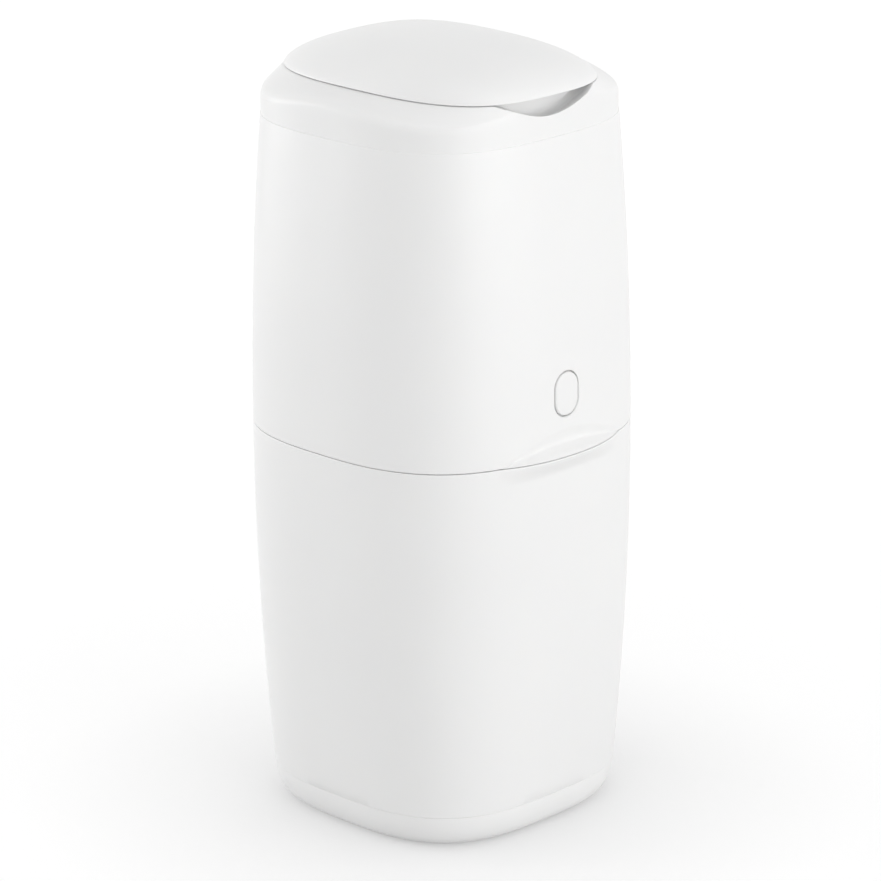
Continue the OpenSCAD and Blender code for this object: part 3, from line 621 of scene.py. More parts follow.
def shell_rule():
    """Wraps a profile of points (half x, half y, height) round a rounded square.

    Each point carries its squareness. The profile holds for the corners; over the
    middle of each side it moves by the point's side shift. The front is swollen at the
    grip: a lip under the seam that runs into a dish above it."""
    tree, given, result = new_tree("Rounded square shell", {
        "Points Round": 240, "Seam Height": seam_z, "Grip Width": grip_w,
        "Grip Height": grip_h, "Grip Dish": grip_dish, "Grip Lip": grip_lip,
        "Grip Fade": grip_fade, "Grip Turn": grip_turn, "Material": "material"})
    sizes = {key: Link(tree, given[key]) for key in given.keys() if key}
    profile = given["Geometry"]
    rows = Link(tree, add_node(tree, "GeometryNodeAttributeDomainSize",
                               Geometry=profile).outputs["Point Count"])
    grid = add_node(tree, "GeometryNodeMeshGrid", Size_X=1.0, Size_Y=1.0,
                    Vertices_X=sizes["Points Round"] + 1, Vertices_Y=rows)
    place = tree.nodes.new("GeometryNodeInputPosition").outputs[0]

    def parts(vector):
        return [Link(tree, part) for part in
                add_node(tree, "ShaderNodeSeparateXYZ", Vector=vector).outputs]

    def marked(kind, key):
        return add_node(tree, "GeometryNodeInputNamedAttribute", {"data_type": kind},
                        Name=key).outputs[0]

    def at_row(kind, value):
        return add_node(tree, "GeometryNodeSampleIndex", {"data_type": kind},
                        Geometry=profile, Value=value, Index=row).outputs[0]

    cell = parts(place)
    turn = (cell[0] + 0.5) * (2 * math.pi)
    row = ((cell[1] + 0.5) * (rows - 1)).math("ROUND")
    power = Link(tree, at_row("FLOAT", marked("FLOAT", "squareness")))
    corner = parts(at_row("FLOAT_VECTOR", place))
    change = parts(at_row("FLOAT_VECTOR", marked("FLOAT_VECTOR", "side_shift")))
    side = (turn * 2).math("COSINE") ** 2.0
    half_x, half_y, z = [start + move * side for start, move in zip(corner, change)]
    across, along = turn.math("COSINE"), turn.math("SINE")
    radius = (across.math("ABSOLUTE") ** power
              + along.math("ABSOLUTE") ** power) ** (-1 / power)
    x, y = half_x * radius * across, half_y * radius * along

    def soft(t):
        return 0.5 - 0.5 * (t * math.pi).math("COSINE")

    fit = (1 - (2 * x / sizes["Grip Width"]) ** 2.0).math("MAXIMUM", 0.0)
    below = ((sizes["Seam Height"] - z) / sizes["Grip Fade"]).math("MAXIMUM", 0.0)
    dish_h = sizes["Grip Height"] * fit.math("MAXIMUM", 0.02)
    up = ((z - sizes["Seam Height"]) / dish_h).math("MAXIMUM", 0.0)
    lip = sizes["Grip Lip"] * (1 - soft(below.math("MINIMUM", 1.0)))
    inward = (up / sizes["Grip Turn"]).math("MINIMUM", 1.0)
    outward = ((up - sizes["Grip Turn"]) / (1 - sizes["Grip Turn"])).math(
        "MAXIMUM", 0.0).math("MINIMUM", 1.0)
    over = (sizes["Grip Lip"] + sizes["Grip Dish"]) * soft(inward)
    back = sizes["Grip Dish"] * soft(outward)
    swell = fit * (lip - over + back)
    front = y.math("LESS_THAN", 0.0)
    spot = add_node(tree, "ShaderNodeCombineXYZ", X=x, Y=y - swell * front,
                    Z=z).outputs[0]
    shape = add_node(tree, "GeometryNodeSetPosition", Geometry=grid.outputs["Mesh"],
                     Position=spot)
    joined = add_node(tree, "GeometryNodeMergeByDistance", Geometry=shape.outputs[0],
                      Distance=2e-6)
    finish_tree(tree, joined.outputs[0], given["Material"], result)
    return tree


def spring_rule():
    """Coil of wire along Z from 0 to its length."""
    tree, given, result = new_tree("Coil spring", {
        "Turns": 4.0, "Mean Radius": 0.005, "Wire Radius": 0.0005, "Length": 0.01,
        "Place": (0.0, 0.0, 0.0), "Turn": (0.0, 0.0, 0.0), "Material": "material"})
    wire = Link(tree, given["Wire Radius"])
    rise = Link(tree, given["Length"]) - wire * 2
    coil = add_node(tree, "GeometryNodeCurveSpiral", Resolution=40,
                    Rotations=given["Turns"], Start_Radius=given["Mean Radius"],
                    End_Radius=given["Mean Radius"], Height=rise)
    round_wire = add_node(tree, "GeometryNodeCurvePrimitiveCircle", Resolution=14,
                          Radius=given["Wire Radius"])
    sweep = add_node(tree, "GeometryNodeCurveToMesh", Curve=coil.outputs[0],
                     Profile_Curve=round_wire.outputs[0], Fill_Caps=True)
    lift = add_node(tree, "ShaderNodeCombineXYZ", Z=wire).outputs[0]
    raised = add_node(tree, "GeometryNodeTransform", Geometry=sweep.outputs[0],
                      Translation=lift)
    placed = add_node(tree, "GeometryNodeTransform", Geometry=raised.outputs[0],
                      Translation=given["Place"], Rotation=given["Turn"])
    finish_tree(tree, placed.outputs[0], given["Material"], result)
    return tree


def fastener_rule():
    """One screw on each point of the base mesh."""
    tree, given, result = new_tree("Fasteners on points", {
        "Screw": "object", "Turn": (0.0, 0.0, 0.0), "Material": "material"})
    screw = add_node(tree, "GeometryNodeObjectInfo", Object=given["Screw"])
    spots = add_node(tree, "GeometryNodeInstanceOnPoints", Points=given["Geometry"],
                     Instance=screw.outputs["Geometry"], Rotation=given["Turn"])
    finish_tree(tree, spots.outputs[0], given["Material"], result)
    return tree


shell_tree = shell_rule()
spring_tree = spring_rule()
screw_tree = fastener_rule()


def wrapped(name, rows, finish=shell_white, points=240, shifts=None):
    """Closed skin through rows of (half x, half y, squareness, height)."""
    base = bpy.data.meshes.new(name + "_profile")
    base.from_pydata([(hx, hy, z) for hx, hy, n, z in rows], [], [])
    mark = base.attributes.new("squareness", "FLOAT", "POINT")
    mark.data.foreach_set("value", [n for hx, hy, n, z in rows])
    move = base.attributes.new("side_shift", "FLOAT_VECTOR", "POINT")
    for item, shift in zip(move.data, shifts or []):
        item.vector = shift
    return clean(grown(name, shell_tree, {"Points Round": points, "Material": finish},
                       base))


def square_row(half, z, corner=corner_end):
    """Row with the same half width both ways."""
    return (half, half, corner, z)


def body_row(z, inset):
    """Row of the body's wall at a height, some way in from its outside."""
    return square_row(half_at(z) - inset, z, corner_at(z))


def rim_row(inset, z):
    """Row that follows the lid's outline."""
    return (lid_hx - inset, lid_hy - inset, corner_end, z)


def edge_rows(z, top, inset_out, inset_in, radius=0.0007, count=5):
    """Rows over the rounded edge of a wall, from its outer to its inner side."""
    way = 1 if top else -1
    rows = []
    for side, inset in ((0, inset_out), (1, inset_in)):
        for k in range(count):
            a = math.pi / 2 * (k / (count - 1)) + side * math.pi / 2
            shift = radius * (1 - math.cos(a)) if not side else -radius * (1 + math.cos(a))
            drop = radius * (1 - math.sin(a))
            rows.append(body_row(z - way * drop, inset + shift))
    return rows


# ---- lower half ----
def make_tub():
    """Tub with its rounded foot, the step above it and the lip at the seam."""
    under, floor_corner = foot_half - foot_in, 2.2
    rows = [square_row(0, pad_t, circle)]
    rows += [square_row(s * under, pad_t, mix(floor_corner, corner_end, s))
             for s in (0.3, 0.6, 0.85, 0.97)]
    rows += [square_row(foot_half - foot_in * (1 - math.sin(a)),
                        mix(pad_t, step_z - 2 * step_soft, 1 - math.cos(a)))
             for a in quarter(12)]
    rows += [square_row(foot_half - step_soft, step_z - step_soft),
             body_row(step_z, step_soft)]
    heights = steps(step_z + 0.0004, seam_z - 0.020, 34) + steps(
        seam_z - 0.0185, seam_z - 0.0015, 14)
    rows += [body_row(z, 0) for z in heights]
    rows += edge_rows(tub_top, True, 0, wall)
    rows += [body_row(z, wall) for z in reversed(heights)]
    floor_z = pad_t + floor_t
    rows += [square_row(foot_half - wall - foot_in * (1 - math.cos(a)),
                        mix(step_z - 0.008, floor_z, math.sin(a))) for a in quarter(8)[1:]]
    half = rows[-1][0]
    rows += [square_row(s * half, floor_z, mix(floor_corner, corner_end, s))
             for s in (0.85, 0.6, 0.3, 0)]
    tub = wrapped("tub_shell", rows)
    return dress(cut(tub, hinge_room()), shell_white, "base", ["base_tub"])


def hinge_room():
    """Room that the rear hinge turns in."""
    return rod(hinge_room_r, -hinge_half - knuckle_gap, hinge_half + knuckle_gap, "x",
               hinge, bevel=0.0002, sides=96)


def hinge_housing(name, below, body):
    """Thickening inside the wall round the hinge barrel."""
    more, tall = 0.003, 0.013
    solid = rod(barrel_r + 0.0034, -hinge_half - more, hinge_half + more, "x", hinge,
                bevel=0.0008, sides=96, name=name)
    heights = (seam_z - tall, tub_top) if below else (body_bottom, seam_z + tall)
    overlap(solid, slab(0.06, (hinge_y - 0.014, hinge_y - 0.0015), heights))
    return dress(cut(solid, hinge_room()), shell_white, body)


def knuckles(name, spans, up, body):
    """Hinge knuckles with the webs that carry them."""
    web = barrel_r + 0.005
    low, high = (seam_z, seam_z + web) if up else (seam_z - web, seam_z)
    whole = welded(hinge_eye(
        tube(name, barrel_r, hinge_pin_r, start, end, hinge),
        block((start + tuck, hinge_y - barrel_r + tuck, low),
              (end - tuck, hinge_y - 0.0016, high)),
        hinge_pin_r + 0.001, hinge) for start, end in spans)
    return dress(whole, shell_white, body)


def side_tongues():
    """Tongues at both sides of the tub's rim that centre the upper half."""
    low, high, edge = seam_z - 0.014, seam_z + 0.008, 0.0006
    fast, free, back = wall - 0.0005, wall + 0.0006, wall + 0.0026
    rows = [body_row(z, inset) for z, inset in (
        (low, fast), (tub_top - 0.002, fast), (tub_top - 0.0019, free),
        (seam_z + 0.003, free), (high - 0.0008, free), (high, free + edge),
        (high, back - edge), (high - 0.0008, back), (low + edge, back),
        (low, back - edge))]
    band = wrapped("side_tongues", rows + [rows[0]])
    overlap(band, slab(0.14, (-0.060, 0.060), (0.2, 0.4)))
    return dress(band, shell_white, "base")


make_tub()
hinge_housing("tub_hinge_housing", True, "base")
base_spans = [(-hinge_half, -hinge_half + end_knuckle), (-mid_knuckle, mid_knuckle),
              (hinge_half - end_knuckle, hinge_half)]
upper_spans = [(-hinge_half + end_knuckle + knuckle_gap, -mid_knuckle - knuckle_gap),
               (mid_knuckle + knuckle_gap, hinge_half - end_knuckle - knuckle_gap)]
knuckles("tub_knuckles", base_spans, False, "base")
side_tongues()
keeper_y = -half_at(keeper_z) + wall
keeper_pad = slab(0.022, (keeper_y - 0.001, keeper_y + 0.0008),
                  (keeper_z - 0.011, keeper_z + 0.010), "keeper_pad")
dress(bevelled(keeper_pad, 0.0003), shell_white, "base")
softened("foot_pads", 0.0005, foot_rubber, "base")
softened("latch_keeper", 0.0003, plate_steel, "base")
softened("body_hinge_pin", 0.0005, pin_steel, "base")


# ---- upper half ----
def pill_ring(w, h, y, z):
    """Upright outline with round ends at a place along Y and a height."""
    straight, count = (h - w) / 2, 32
    return [(w / 2 * math.cos(a), y, w / 2 * math.sin(a)
             + (straight if math.sin(a) >= 0 else -straight) + z)
            for a in (2 * math.pi * (k + 0.5) / (2 * count) for k in range(2 * count))]


def pill_stack(name, rows):
    """Closed solid round the button's middle: rows of (width, height, place along Y)."""
    return stacked(name, [pill_ring(w, h, y, button_z) for w, h, y in rows])


def make_upper():
    """Barrel wall of the upper half with the dish at its foot and the button's hole."""
    heights = steps(seam_z + 0.0012, seam_z + 0.0252, 25) + steps(
        seam_z + 0.030, ledge_z - 0.0015, 32)
    rows = edge_rows(body_bottom, False, 0, wall)
    rows.reverse()
    rows += [body_row(z, 0) for z in heights]
    rows += edge_rows(ledge_z, True, 0, wall, radius=0.0003, count=4)
    rows += [body_row(z, wall) for z in reversed(heights)]
    barrel = wrapped("upper_shell", rows + [rows[0]])
    face = -half_at(button_z)
    w, h = button_w + 2 * button_gap, button_h + 2 * button_gap
    hole = pill_stack("hole", [(w + 0.011, h + 0.011, face - 0.005),
                               (w + 0.0006, h + 0.0006, face + 0.0002),
                               (w, h, face + 0.0006), (w, h, face + 0.02)])
    cut(barrel, hinge_room(), hole)
    return dress(barrel, shell_white, "upper", ["upper_body"])


def make_button():
    """Push button with a rounded rim, its retaining flange and its stem."""
    face = -half_at(button_z) - button_proud
    flange, wide = -wall_in + 0.0006, 0.005
    rows = [(button_w * s, button_h * s, face + button_crown * s * s)
            for s in (0.1, 0.2, 0.35, 0.5, 0.65, 0.8)]
    for a in quarter(8):
        inset = 2 * button_soft * (1 - math.sin(a))
        rows.append((button_w - inset, button_h - inset,
                     face + button_crown + button_soft * (1 - math.cos(a))))
    rows += [(button_w + more, button_h + more, flange + y) for more, y in (
        (0, 0), (wide - 0.0006, 0), (wide, 0.0003), (wide, 0.0017),
        (wide - 0.0006, 0.002))]
    cap = pill_stack("push_button", rows)
    stem = turned("button_stem", [
        (0, flange + 0.001), (stem_r, flange + 0.001), (stem_r, -wall_in + 0.0135),
        (stem_r - 0.0005, -wall_in + 0.014), (0.002, -wall_in + 0.014),
        (0.002, -wall_in + 0.017), (0.0012, -wall_in + 0.0182), (0, -wall_in + 0.0185)],
        (0, 0, button_z), "y", 48)
    dress(stem, button_white, "button")
    return dress(cap, button_white, "button", ["release_button"])


def shoulder_path(u, deep, knee):
    """Place on the shoulder's section: upright to a soft knee, then a slope to the rim.

    Gives how far in it lies, from 0 at the wall to 1 at the rim, and its height."""
    slope = math.atan2(rim_z - knee, deep)
    bend = knee_r * math.tan((math.pi / 2 - slope) / 2)
    if u < knee_start:
        return 0, mix(ledge_z, knee - bend, u / knee_start)
    if u < knee_end:
        turn = mix(0, math.pi / 2 - slope, (u - knee_start) / (knee_end - knee_start))
        return (knee_r * (1 - math.cos(turn)) / deep,
                knee - bend + knee_r * math.sin(turn))
    start = bend * math.cos(slope) / deep
    share = mix(start, 1, (u - knee_end) / (1 - knee_end))
    return share, mix(knee, rim_z, share)


def shoulder_row(u, inset=0.0, side=False):
    """Row of the shoulder, from the ledge (u = 0) to the rim (u = 1)."""
    share, z = shoulder_path(u, collar_half - lid_hx, knee_side if side else knee_corner)
    return (mix(collar_half, lid_hx, share) - inset,
            mix(collar_half, lid_hy, share) - inset, corner_end, z)


def shoulder_shift(u):
    """What a row of the shoulder moves by over the middle of each side."""
    corner, side = shoulder_row(u), shoulder_row(u, 0, True)
    return (side[0] - corner[0], side[1] - corner[1], side[3] - corner[3])


def scoop_room(grow, flare=()):
    """Room of the finger scoop: flat at its back, with a floor that rises outwards."""
    back = scoop_back - grow
    bend, taper, over, count = 0.004, 0.16, 0.0005, 90
    run = lid_hy - scoop_back - bend
    stations = [(back - 0.001, -0.006)]
    stations += [(back + bend * (1 - math.cos(a)), scoop_deep - bend * (1 - math.sin(a)))
                 for a in quarter(8)]
    stations += [(back + bend + run * t,
                  mix(scoop_deep, scoop_dip, (1 - math.cos(math.pi * t)) / 2))
                 for t in steps(0, 1, 15)[1:]]
    stations += [(lid_hy + out, scoop_dip + more) for out, more in flare]
    stations.append((lid_hy + 0.02, stations[-1][1]))
    rings = []
    for y, low in stations:
        share = min(1, 1 - taper * (lid_hy - y) / (lid_hy - scoop_back))
        w = scoop_w * share + 2 * grow
        xs = [w * (k / count - 0.5) for k in range(count + 1)]
        rings.append([(x - scoop_left, -y, rim_z + over - (low + grow + over)
                       * (1 - (2 * x / w) ** 2) ** 2) for x in xs]
                     + [(x - scoop_left, -y, rim_z + 0.01) for x in (w / 2, -w / 2)])
    return stacked("scoop_room", rings)


def make_collar():
    """Shoulder with its rim, the deck inside it and the finger scoop."""
    shares = [k / 36 for k in range(36)] + [0.992]
    rows = [shoulder_row(u) for u in shares]
    rows += [rim_row(inset, z) for inset, z in (
        (0.0006, rim_z - 0.0001), (0.0014, rim_z), (rim_t - 0.0008, rim_z),
        (rim_t - 0.0002, rim_z - 0.0003), (rim_t, rim_z - 0.001), (rim_t, deck_z + 0.005),
        (rim_t, deck_z + 0.0012), (rim_t + 0.0004, deck_z + 0.0004),
        (rim_t + 0.0012, deck_z))]
    lip_x, lip_y = rows[-1][:2]
    rows += [(mix(lip_x, well_r + 0.001, t), mix(lip_y, well_r + 0.001, t),
              mix(corner_end, circle, t), deck_z) for t in (0.25, 0.5, 0.75, 1)]
    under = deck_z - deck_t
    rows += [square_row(well_r, deck_z - 0.0008, circle), square_row(well_r, under, circle)]
    rows += [square_row(mix(well_r, collar_half - 0.006, t), under - 0.004 * t,
                        mix(circle, corner_end, t)) for t in (0.33, 0.66, 1)]
    skirt, low = half_at(ledge_z) - wall - 0.0003, ledge_z - 0.012
    rows += [square_row(skirt - inset, z, corner_at(ledge_z)) for inset, z in (
        (0.0024, ledge_z), (0.0024, low + 0.0006), (0.0018, low), (0.0008, low),
        (0, low + 0.0008), (0, ledge_z))]
    collar = wrapped("shoulder_collar", rows + [rows[0]],
                     shifts=[shoulder_shift(u) for u in shares])
    shares = [k / 24 for k in range(25)]
    inside = [shoulder_row(u, 0.001) for u in shares]
    pan = wrapped("pan", [(0, 0, circle, ledge_z)] + inside + [(0, 0, circle, rim_z)],
                  shifts=[(0, 0, 0)] + [shoulder_shift(u) for u in shares])
    overlap(pan, scoop_room(0.003), slab(scoop_w, (-lid_hy - 0.005, -scoop_back + 0.005),
                                         (rim_z - scoop_deep - 0.004, rim_z - 0.0007)))
    weld(collar, pan)
    rear, over, room = lid_hy + 0.005, rim_z + 0.001, 0.0008
    rebate = rod(rebate_r, deck_z - flange_t, deck_z + 0.018, "z", (0, 0, 0), bevel=0,
                 sides=160)
    seat = slab(lid_hinge_half + room, (lid_pivot_y - lid_barrel_r - 0.0025, rear),
                (lid_pivot_z - lid_barrel_r - room, over))
    relief = slab(lid_hinge_half + edge_room, (lid_pivot_y + 0.002, rear),
                  (lid_pivot_z - 0.0025, over))
    edge = [(0.0028, 0), (0.0033, 0.0001), (0.0037, 0.0004), (0.0041, 0.0011)]
    cut(collar, scoop_room(0, edge), rebate, seat, relief)
    return dress(collar, shell_white, "upper", ["top_collar"])


def lid_ears():
    """Ears of the collar that hold the lid's pin."""
    spans = ((-lid_hinge_half, -lid_knuckle - knuckle_gap),
             (lid_knuckle + knuckle_gap, lid_hinge_half))
    whole = welded(hinge_eye(
        tube("lid_ears", lid_barrel_r, lid_pin_r, start, end, lid_pivot),
        block((start + tuck, lid_pivot_y - lid_barrel_r + tuck, deck_z - 0.001),
              (end - tuck, lid_pivot_y + lid_barrel_r - 0.0015, lid_pivot_z - 0.001)),
        lid_pin_r + 0.0006, lid_pivot) for start, end in spans)
    return dress(whole, shell_white, "upper")


make_upper()
hinge_housing("upper_hinge_housing", False, "upper")
knuckles("upper_knuckles", upper_spans, True, "upper")
make_button()
make_collar()
lid_ears()
softened("latch_bracket", 0.0003, inner_white, "upper")
softened("latch_pin", 0.0004, pin_steel, "upper")
softened("latch_hook", 0.0003, plate_steel, "hook")
softened("lid_hinge_pin", 0.0004, pin_steel, "upper")
boss_side = rounded([(0.00155, -wall_in - 0.001), (0.0042, -wall_in - 0.001),
                     (0.004, -wall_in + 0.010), (0.00155, -wall_in + 0.010)],
                    radius=0.0003, steps=3)
bosses = welded(turned("bracket_bosses", boss_side, (x, 0, button_z + z), "y", 40)
                for x, z in four(bracket_hole, bracket_hole))
dress(bosses, shell_white, "upper")


# ---- cassette, throat and jaws ----
def make_cradle():
    """Round well under the deck with a collar round the throat."""
    r, collar_r, collar_top = cradle_r, throat_r + 0.002, cradle_floor + 0.0055
    profile = rounded([
        (r, deck_z, 0.0008), (rebate_r - 0.0003, deck_z, 0.0006),
        (rebate_r - 0.0003, deck_z - flange_t, 0.0003),
        (r + cradle_wall, deck_z - flange_t, 0.0006),
        (r + cradle_wall, cradle_under, 0.002), (throat_r, cradle_under, 0.0003),
        (throat_r, collar_top, 0.0012),
        (collar_r, collar_top, 0.0006), (collar_r, cradle_floor, 0.0006),
        (r, cradle_floor, 0.0022)], radius=0.0005, steps=5)
    piece = turned("cassette_well", profile, sides=200)
    return dress(piece, inner_white, "upper", ["cassette_cradle"])


def make_cassette():
    """Refill: a ring-shaped tub and the cap on it."""
    low, top, out = cassette_low, cassette_cap_low, cassette_out
    inner, thick = cassette_in, cassette_wall
    tub = turned("refill_tub", rounded([
        (inner, low, 0.0006), (out, low, 0.0024), (out, top, 0.0003),
        (out - thick, top, 0.0003), (out - thick, low + thick, 0.0018),
        (inner + thick, low + thick, 0.0006), (inner + thick, top, 0.0006),
        (inner, top, 0.0006)], radius=0.0005), sides=200)
    dress(tub, inner_white, "cassette", ["cassette_tub"])
    cap = turned("refill_cap", rounded([
        (inner + 0.004, top + 0.0012, 0.0004), (inner + 0.005, top, 0.0004),
        (out, top, 0.0003), (out, top + 0.002, 0.0011),
        (inner + 0.0042, top + 0.002, 0.0006)], radius=0.0004), sides=200)
    return dress(cap, inner_white, "cassette", ["cassette_cap"])


def make_film():
    """Film gathered in the refill in soft round folds."""
    low = cassette_low + 0.0018
    high, out = low + 0.037, cassette_out - 0.0044
    inner, folds = cassette_in + 0.002, 14
    wave = [(out + 0.001 * math.sin(2 * math.pi * folds * t), mix(low, high, t))
            for t in steps(0, 1, folds * 8 + 1)]
    piece = turned("film_folds", [(inner, low)] + wave + [(inner, high)], sides=180)
    for point in piece.data.vertices:
        turn = math.atan2(point.co.y, point.co.x)
        reach = math.hypot(point.co.x, point.co.y)
        if reach > out - 0.002:
            reach += 0.0004 * math.sin(9 * turn + 40 * point.co.z) - 0.0004
            point.co.x = reach * math.cos(turn)
            point.co.y = reach * math.sin(turn)
    return dress(piece, folded_film, "cassette", ["film_pack"], sharp=80)


make_cradle()
make_cassette()
make_film()
softened("jaw_box", 0.0005, inner_white, "upper")
for side in ("left", "right"):
    softened("jaw_axle_" + side, 0.0003, jaw_pin_steel, "upper")
    softened("jaw_" + side, 0.0004, jaw_plastic, side + "_jaw")
    softened("jaw_lip_" + side, 0.0003, seal_rubber, side + "_jaw")


# ---- lid ----
def dome_row(s, inset):
    """Row of the dome, from its top (s = 0) to its edge (s = 1)."""
    middle_corner, full, flat = 2.3, 2.2, 0.62
    return ((lid_hx - inset) * s, (lid_hy - inset) * s, mix(middle_corner, corner_end, s),
            lid_edge + (dome_h - inset) * (1 - s ** full) ** flat)


def make_lid():
    """Domed lid, cut back at the rear round its knuckle."""
    outer = [1 - (k / 30) ** 2 for k in range(31)]
    shares = [s for s in (math.sin(math.pi / 2 * s) for s in outer) if s < 0.9995]
    rows = [rim_row(lid_wall, lid_edge + 0.0003), rim_row(lid_wall - 0.0004, lid_edge),
            rim_row(0.0008, lid_edge), rim_row(0.0002, lid_edge + 0.0003)]
    rows += [dome_row(s, 0) for s in shares]
    rows += [dome_row(s, lid_wall) for s in reversed(shares)]
    dome = wrapped("lid_dome", rows + [rows[0]])
    notch = slab(lid_hinge_half + 0.0012, (lid_room_y, lid_hy + 0.001),
                 (lid_z - 0.001, lid_z + lid_rise))
    return dress(cut(dome, notch), shell_white, "lid", ["lid_shell"])


def lid_inner_parts():
    """Wall behind the notch, knuckle and screw bosses under the dome."""
    inside = [(0, 0, circle, lid_z)] + [
        dome_row(s, lid_wall / 2)
        for s in (1, 0.985, 0.955, 0.91, 0.84, 0.74, 0.6, 0.42, 0.22, 0)]
    boss_top = liner_top + lid_rise
    fillers = [slab(lid_hinge_half + 0.004, (lid_room_y - 0.0025, lid_room_y),
                    (lid_z, lid_z + lid_rise))]
    fillers += [turned("boss", [(0.0015, liner_top), (0.004, liner_top),
                                (0.0042, boss_top), (0.0015, boss_top)], (x, y, 0), "z", 40)
                for x, y in four(lid_screw_x, lid_screw_y)]
    names = ("lid_rear_wall", "lid_boss_a", "lid_boss_b", "lid_boss_c", "lid_boss_d")
    for name, filler in zip(names, fillers):
        filler.name = name
        overlap(filler, wrapped("inside", inside, points=120))
        dress(filler, shell_white, "lid")
    knuckle = tube("lid_knuckle", lid_barrel_r, lid_pin_r + 0.00006, -lid_knuckle,
                   lid_knuckle, lid_pivot)
    arm = extruded("arm", [(lid_room_y - 0.002, lid_z + 0.0004),
                           (lid_pivot_y - 0.002, lid_z + 0.0004),
                           (lid_pivot_y + 0.002, lid_pivot_z + 0.004),
                           (lid_pivot_y - 0.001, lid_z + 0.005),
                           (lid_room_y - 0.002, lid_z + 0.007)],
                   -lid_knuckle + tuck, lid_knuckle - tuck)
    hinge_eye(knuckle, arm, lid_pin_r + 0.001, lid_pivot)
    dress(knuckle, shell_white, "lid")


def make_liner():
    """Inner panel of the lid with its skirt, a shallow tray and the seal under it."""
    top, low, base = liner_top, liner_low, deck_z + 0.0003
    hx, hy = lid_hx - liner_in, scoop_back - liner_in
    face, tray, middle_corner = top - 0.002, top - 0.0026, 2.4

    def row(inset, z):
        return (hx - inset, hy - inset, corner_end, z)

    def flat_row(s, inset, z):
        return (s * (hx - inset), s * (hy - inset), mix(middle_corner, corner_end, s), z)

    rows = [flat_row(s, 0.002, face) for s in (0, 0.2, 0.4, 0.6)]
    rows += [row(inset, z) for inset, z in (
        (0.0200, face), (0.0196, top - 0.0023), (0.0190, tray), (0.0170, tray),
        (0.0164, top - 0.0023), (0.0160, face), (0.0030, face), (0.0023, top - 0.0023),
        (0.002, top - 0.003), (0.002, low + 0.0002), (0.0018, low), (0.0003, low),
        (0, low + 0.0003), (0, top - 0.0012), (0.0003, top - 0.0004), (0.001, top))]
    rows += [flat_row(s, 0.001, top) for s in (0.75, 0.5, 0.25, 0)]
    panel = wrapped("lid_panel", rows)
    cut(panel, *[rod(0.0016, top - 0.006, top + 0.004, "z", (x, y, 0), bevel=0, sides=32)
                 for x, y in four(lid_screw_x, lid_screw_y)])
    dress(panel, inner_white, "lid", ["lid_liner"])
    ring = [row(inset, z) for inset, z in (
        (0.002, low), (0.002, base + 0.0010), (0.0017, base + 0.0004), (0.0012, base),
        (0.0002, base), (-0.0004, base + 0.0003), (-0.0006, base + 0.0009),
        (-0.0002, base + 0.0022), (0, low))]
    seal = wrapped("lid_gasket", ring + [ring[0]], seal_rubber)
    return dress(seal, seal_rubber, "lid", ["lid_seal"], sharp=50)


make_lid()
lid_inner_parts()
make_liner()


# ---- screws and springs ----
def screw_model(head_r, shank_r, shank):
    """Pan-head screw with a cross recess and turned thread rings, standing on z = 0."""
    top, pitch, slot_half = head_r * 0.6, 0.0007, 0.0003
    turns = max(1, int(shank / pitch) - 1)
    thread = []
    for k in range(turns):
        z = -shank + 0.0004 + k * pitch
        thread += [(shank_r * 0.8, z), (shank_r, z + pitch * 0.5)]
    profile = [(0, -shank), (shank_r * 0.5, -shank)] + thread + [(shank_r * 0.8, 0)]
    profile += [(head_r, 0), (head_r, head_r * 0.25), (head_r * 0.95, head_r * 0.40),
                (head_r * 0.8, head_r * 0.53), (head_r * 0.55, top), (0, top)]
    screw = turned("screw_model", profile, sides=28)
    outline = [(head_r * u, slot_half * v)
               for u, v in ((-0.5, -1), (0.5, -1), (0.5, 1), (-0.5, 1))]
    for turn in (0, math.pi / 2):
        slot = extruded("slot", outline, top - head_r * 0.35, top + 0.001, "z")
        slot.data.transform(Matrix.Rotation(turn, 4, "Z"))
        cut(screw, slot)
    screw.data.shade_smooth()
    return screw


def screws(name, model, spots, turn, body, nodes):
    """One screw at each spot, all turned the same way."""
    base = bpy.data.meshes.new(name)
    base.from_pydata(spots, [], [])
    piece = grown(name, screw_tree, {"Screw": model, "Turn": turn,
                                     "Material": screw_steel}, base)
    return dress(piece, screw_steel, body, nodes, sharp=30)


short_screw = screw_model(screw_head_r, screw_r, 0.004)
long_screw = screw_model(screw_head_r, screw_r, 0.008)
stub_screw = screw_model(screw_head_r, screw_r, 0.0024)
lid_screw = screw_model(screw_head_r, lid_screw_r, 0.007)
facing_in = (-math.pi / 2, 0, 0)
facing_down = (math.pi, 0, 0)
screws("keeper_fixings", short_screw,
       [(x, keeper_y + 0.0031, keeper_z) for x in (-keeper_screw, keeper_screw)],
       facing_in, "base", ["keeper_screws"])
screws("bracket_fixings", long_screw,
       [(x, -wall_in + 0.0125, button_z + z) for x, z in four(bracket_hole, bracket_hole)],
       facing_in, "upper", ["bracket_screws"])
screws("jaw_box_fixings", stub_screw,
       [(x, y, cradle_under - 0.0025) for x, y in four(jaw_box_screw, jaw_box_screw)],
       facing_down, "upper", ["jaw_box_screws"])
screws("lid_fixings", lid_screw,
       [(x, y, lid_z + 0.0017) for x, y in four(lid_screw_x, lid_screw_y)],
       facing_down, "lid", ["lid_screws"])
for model in (short_screw, long_screw, stub_screw, lid_screw):
    bpy.data.objects.remove(model)


def spring(name, body, node, **sizes):
    """Coil spring; sizes gives the inputs of its tree by name."""
    values = {key.replace("_", " "): value for key, value in sizes.items()}
    piece = clean(grown(name, spring_tree, {**values, "Material": spring_steel}))
    return dress(piece, spring_steel, body, [node], sharp=60)


